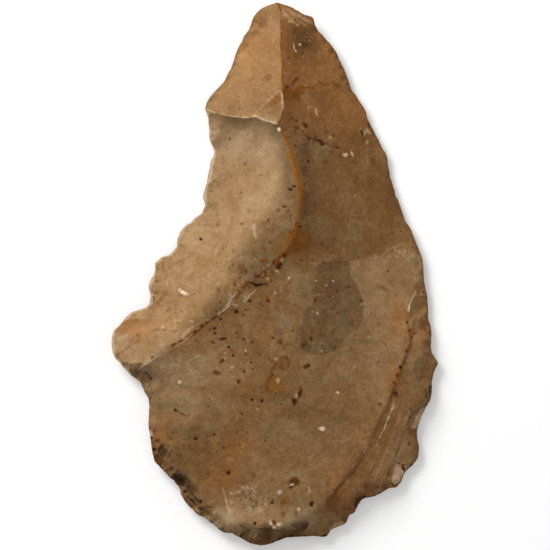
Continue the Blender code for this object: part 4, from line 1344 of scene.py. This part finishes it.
tone = painted("tone")
for layer, amount in ((grain, 0.47), (fine, 0.38), (middling, 0.42), (cloudy, 0.40), (broad, 0.20)):
    tone = plus(tone, swing(layer, amount))
tone = minus(tone, cut_off("glassy", middling, 0.22, 0.08, between_values(broad, 0.3, 0.7, 0.12, 0.20)))
skin = coloured_by(tone, [(0.0, (0.042, 0.019, 0.006)), (0.25, (0.116, 0.057, 0.018)),
                          (0.50, (0.220, 0.111, 0.037)), (0.75, (0.332, 0.180, 0.070)),
                          (1.0, (0.48, 0.285, 0.130))])
greyer = coloured_by(tone, [(0.0, (0.044, 0.026, 0.011)), (0.5, (0.210, 0.128, 0.060)),
                            (1.0, (0.45, 0.30, 0.165))])
honeyed = coloured_by(tone, [(0.0, (0.046, 0.018, 0.004)), (0.5, (0.238, 0.101, 0.029)),
                             (1.0, (0.50, 0.25, 0.092))])
hue = swing(plus(times(cloudy, 0.45), times(broad, 0.55)), 1.6)
skin = laid_over(skin, greyer, between_values(plus(painted("greyed"), hue), 0.0, 1.0))
skin = laid_over(skin, honeyed, between_values(minus(painted("honey"), hue), 0.0, 1.0))

# %% [markdown]
# Two sets of hairlines cross the skin, pale ones where the clouds are light and dark ones where they
# are dark. Then come the stains, with the painted shade and highlight lines among them, each with a
# ramp from a thin layer to a thick one, and the chips, whose fresh stone runs from nearly black to
# pale grey. Tiny specks of soil, rust and chalk finish it.

# %% Hairlines, stains and chips
pale_hairs = hairlines(noise(190, detail=3, distortion=1.6), 0.010)
pale_hairs = times(pale_hairs, between_values(cloudy, 0.50, 0.60, 0.0, 0.35))
skin = laid_over(skin, (0.50, 0.34, 0.19), pale_hairs)
dark_hairs = hairlines(noise(150, detail=4, distortion=1.2), 0.007)
dark_hairs = times(dark_hairs, between_values(cloudy, 0.40, 0.50, 0.35, 0.0))
skin = laid_over(skin, (0.060, 0.032, 0.014), dark_hairs)
mixed = plus(times(fine, 0.5), times(middling, 0.5))


def stain_colour(name, amount, stops):
    """A stain's colour: its ramp read at its painted strength, made uneven by noise."""
    return coloured_by(plus(painted(name + "_strength"), swing(mixed, amount)), stops)


def cover(name, full, thinnest):
    """How much a stain covers: thinnest where its strength is 0, all of the skin from a full strength."""
    return between_values(painted(name + "_strength"), 0.0, full, thinnest, 1.0)


amber = stain_colour("amber", 1.6, [(0.0, (0.27, 0.120, 0.024)), (0.6, (0.180, 0.066, 0.008)),
                                    (1.0, (0.110, 0.036, 0.004))])
skin = laid_over(skin, amber, cut_off("amber", mixed, 1.2, 0.30, cover("amber", 0.7, 0.5)))
rust = stain_colour("rust", 1.0, [(0.0, (0.30, 0.128, 0.022)), (0.60, (0.26, 0.082, 0.006)),
                                  (0.86, (0.15, 0.032, 0.002)), (1.0, (0.055, 0.013, 0.002))])
skin = laid_over(skin, rust, cut_off("rust", mixed, 0.6, 0.14, cover("rust", 0.7, 0.4)))
chip = coloured_by(plus(painted("shade"), swing(fine, 0.6)),
                   [(0.0, (0.024, 0.011, 0.004)), (0.4, (0.135, 0.070, 0.026)),
                    (0.7, (0.24, 0.16, 0.09)), (1.0, (0.36, 0.29, 0.22))])
chipped_off = between_values(plus(painted("fresh"), swing(middling, 0.7)), 0.35, 0.60)
skin = laid_over(skin, chip, times(chipped_off, 0.85))
# The pale stain is wear, and along some ridges partly a painted highlight.
pale = stain_colour("pale", 0.5, [(0.3, (0.48, 0.33, 0.19)), (0.7, (0.62, 0.45, 0.29)),
                                  (1.0, (0.80, 0.66, 0.50))])
skin = laid_over(skin, pale, cut_off("pale", mixed, 0.55, 0.14, painted("pale_strength")))
# The dark stain is soil in pits and cracks, and painted shade along some steps and ridges.
soil_and_shade = stain_colour("dark", 0.8, [(0.3, (0.130, 0.052, 0.010)), (0.7, (0.075, 0.024, 0.003)),
                                  (1.0, (0.022, 0.006, 0.001))])
skin = laid_over(skin, soil_and_shade, cut_off("dark", mixed, 0.40, 0.12, cover("dark", 0.8, 0.3)))
for colour, density, radius, share, amount in (((0.040, 0.020, 0.008), 620, 0.00022, 0.30, 0.75),
                                               ((0.150, 0.045, 0.010), 380, 0.00028, 0.20, 0.60),
                                               ((0.55, 0.42, 0.28), 710, 0.00016, 0.16, 0.45)):
    skin = laid_over(skin, colour, times(specks(density, radius, share), amount))
links.new(skin, shader.inputs["Base Color"])

gloss = between_values(middling, 0.3, 0.7, 0.46, 0.64)
gloss = minus(gloss, times(painted("glassy"), 0.12))
links.new(gloss, shader.inputs["Roughness"])
shader.inputs["IOR"].default_value = 1.5
shader.inputs["Specular IOR Level"].default_value = 0.1

# %% [markdown]
# Colour alone looks painted on. A bump from the same noises gives the skin its fine tooth, which
# breaks up the highlights as on the real stone, and sinks the soil marks and the painted shade lines into
# it.

# %% The fine tooth of the skin
bump = nodes.new("ShaderNodeBump")
bump.inputs["Strength"].default_value = 0.7
bump.inputs["Distance"].default_value = 0.00016
tooth = plus(times(fine, 0.8), times(middling, 1.4))
tooth = minus(tooth, times(painted("dark"), 0.8))
links.new(tooth, bump.inputs["Height"])
links.new(bump.outputs["Normal"], shader.inputs["Normal"])
STONE.data.materials.append(flint)
print("material nodes:", len(nodes))

# %% [markdown]
# The stone lies on a plain white table. A large soft lamp stands beyond the tip to the left, lower
# than half way up, so the ridges throw long shading, and the white surroundings fill in the rest.

# %% The table
TABLE_SIZE = 6.0
half = TABLE_SIZE / 2
table_mesh = bpy.data.meshes.new("white_table")
corners = [(-half, -half, 0), (half, -half, 0), (half, half, 0), (-half, half, 0)]
table_mesh.from_pydata(corners, [], [(0, 1, 2, 3)])
table = bpy.data.objects.new("white_table", table_mesh)
bpy.context.scene.collection.objects.link(table)
paper = bpy.data.materials.new("white_paper")
paper.use_nodes = True
paper_shader = paper.node_tree.nodes["Principled BSDF"]
paper_shader.inputs["Base Color"].default_value = (0.86, 0.86, 0.86, 1)
paper_shader.inputs["Emission Color"].default_value = (1, 1, 1, 1)
paper_shader.inputs["Emission Strength"].default_value = 0.20
paper_shader.inputs["Roughness"].default_value = 0.9
paper_shader.inputs["Specular IOR Level"].default_value = 0.1
table_mesh.materials.append(paper)

# %% The lamps
LAMP_DISTANCE = 0.9


def soft_lamp(name, direction, size, watts):
    """A square lamp of a size, out along a direction, facing the stone."""
    lamp = bpy.data.lights.new(name, "AREA")
    lamp.shape = "SQUARE"
    lamp.size = size
    lamp.energy = watts
    holder = bpy.data.objects.new(name, lamp)
    holder.location = Vector(direction).normalized() * LAMP_DISTANCE
    holder.rotation_euler = holder.location.to_track_quat("Z", "Y").to_euler()
    bpy.context.scene.collection.objects.link(holder)
    return holder


soft_lamp("window_light", (-0.50, 0.66, 0.62), size=0.42, watts=6.8)
world = bpy.data.worlds.new("white_room")
bpy.context.scene.world = world
world.use_nodes = True
world.node_tree.nodes["Background"].inputs["Color"].default_value = (1.0, 1.0, 1.0, 1)
world.node_tree.nodes["Background"].inputs["Strength"].default_value = 0.52
bpy.context.scene.view_settings.view_transform = "Standard"

# %% [markdown]
# The camera looks straight down, as in a museum's catalogue. A very long lens from far away keeps
# the tall ridge from leaning outwards. The image is 550 units of the sheet wide.

# %% The camera
IMAGE_SIZE = 550
LENS, SENSOR = 600, 36
frame_width = IMAGE_SIZE * LENGTH / (SHEET_BUTT - SHEET_TIP)
camera_data = bpy.data.cameras.new("catalogue_camera")
camera_data.lens = LENS
camera_data.sensor_width = SENSOR
camera_data.clip_end = 20
camera = bpy.data.objects.new("catalogue_camera", camera_data)
middle = placed((IMAGE_SIZE / 2, IMAGE_SIZE / 2))
camera.location = (middle[0], middle[1], frame_width * LENS / SENSOR)
bpy.context.scene.collection.objects.link(camera)
bpy.context.scene.camera = camera
print("camera height in m:", round(camera.location.z, 2))
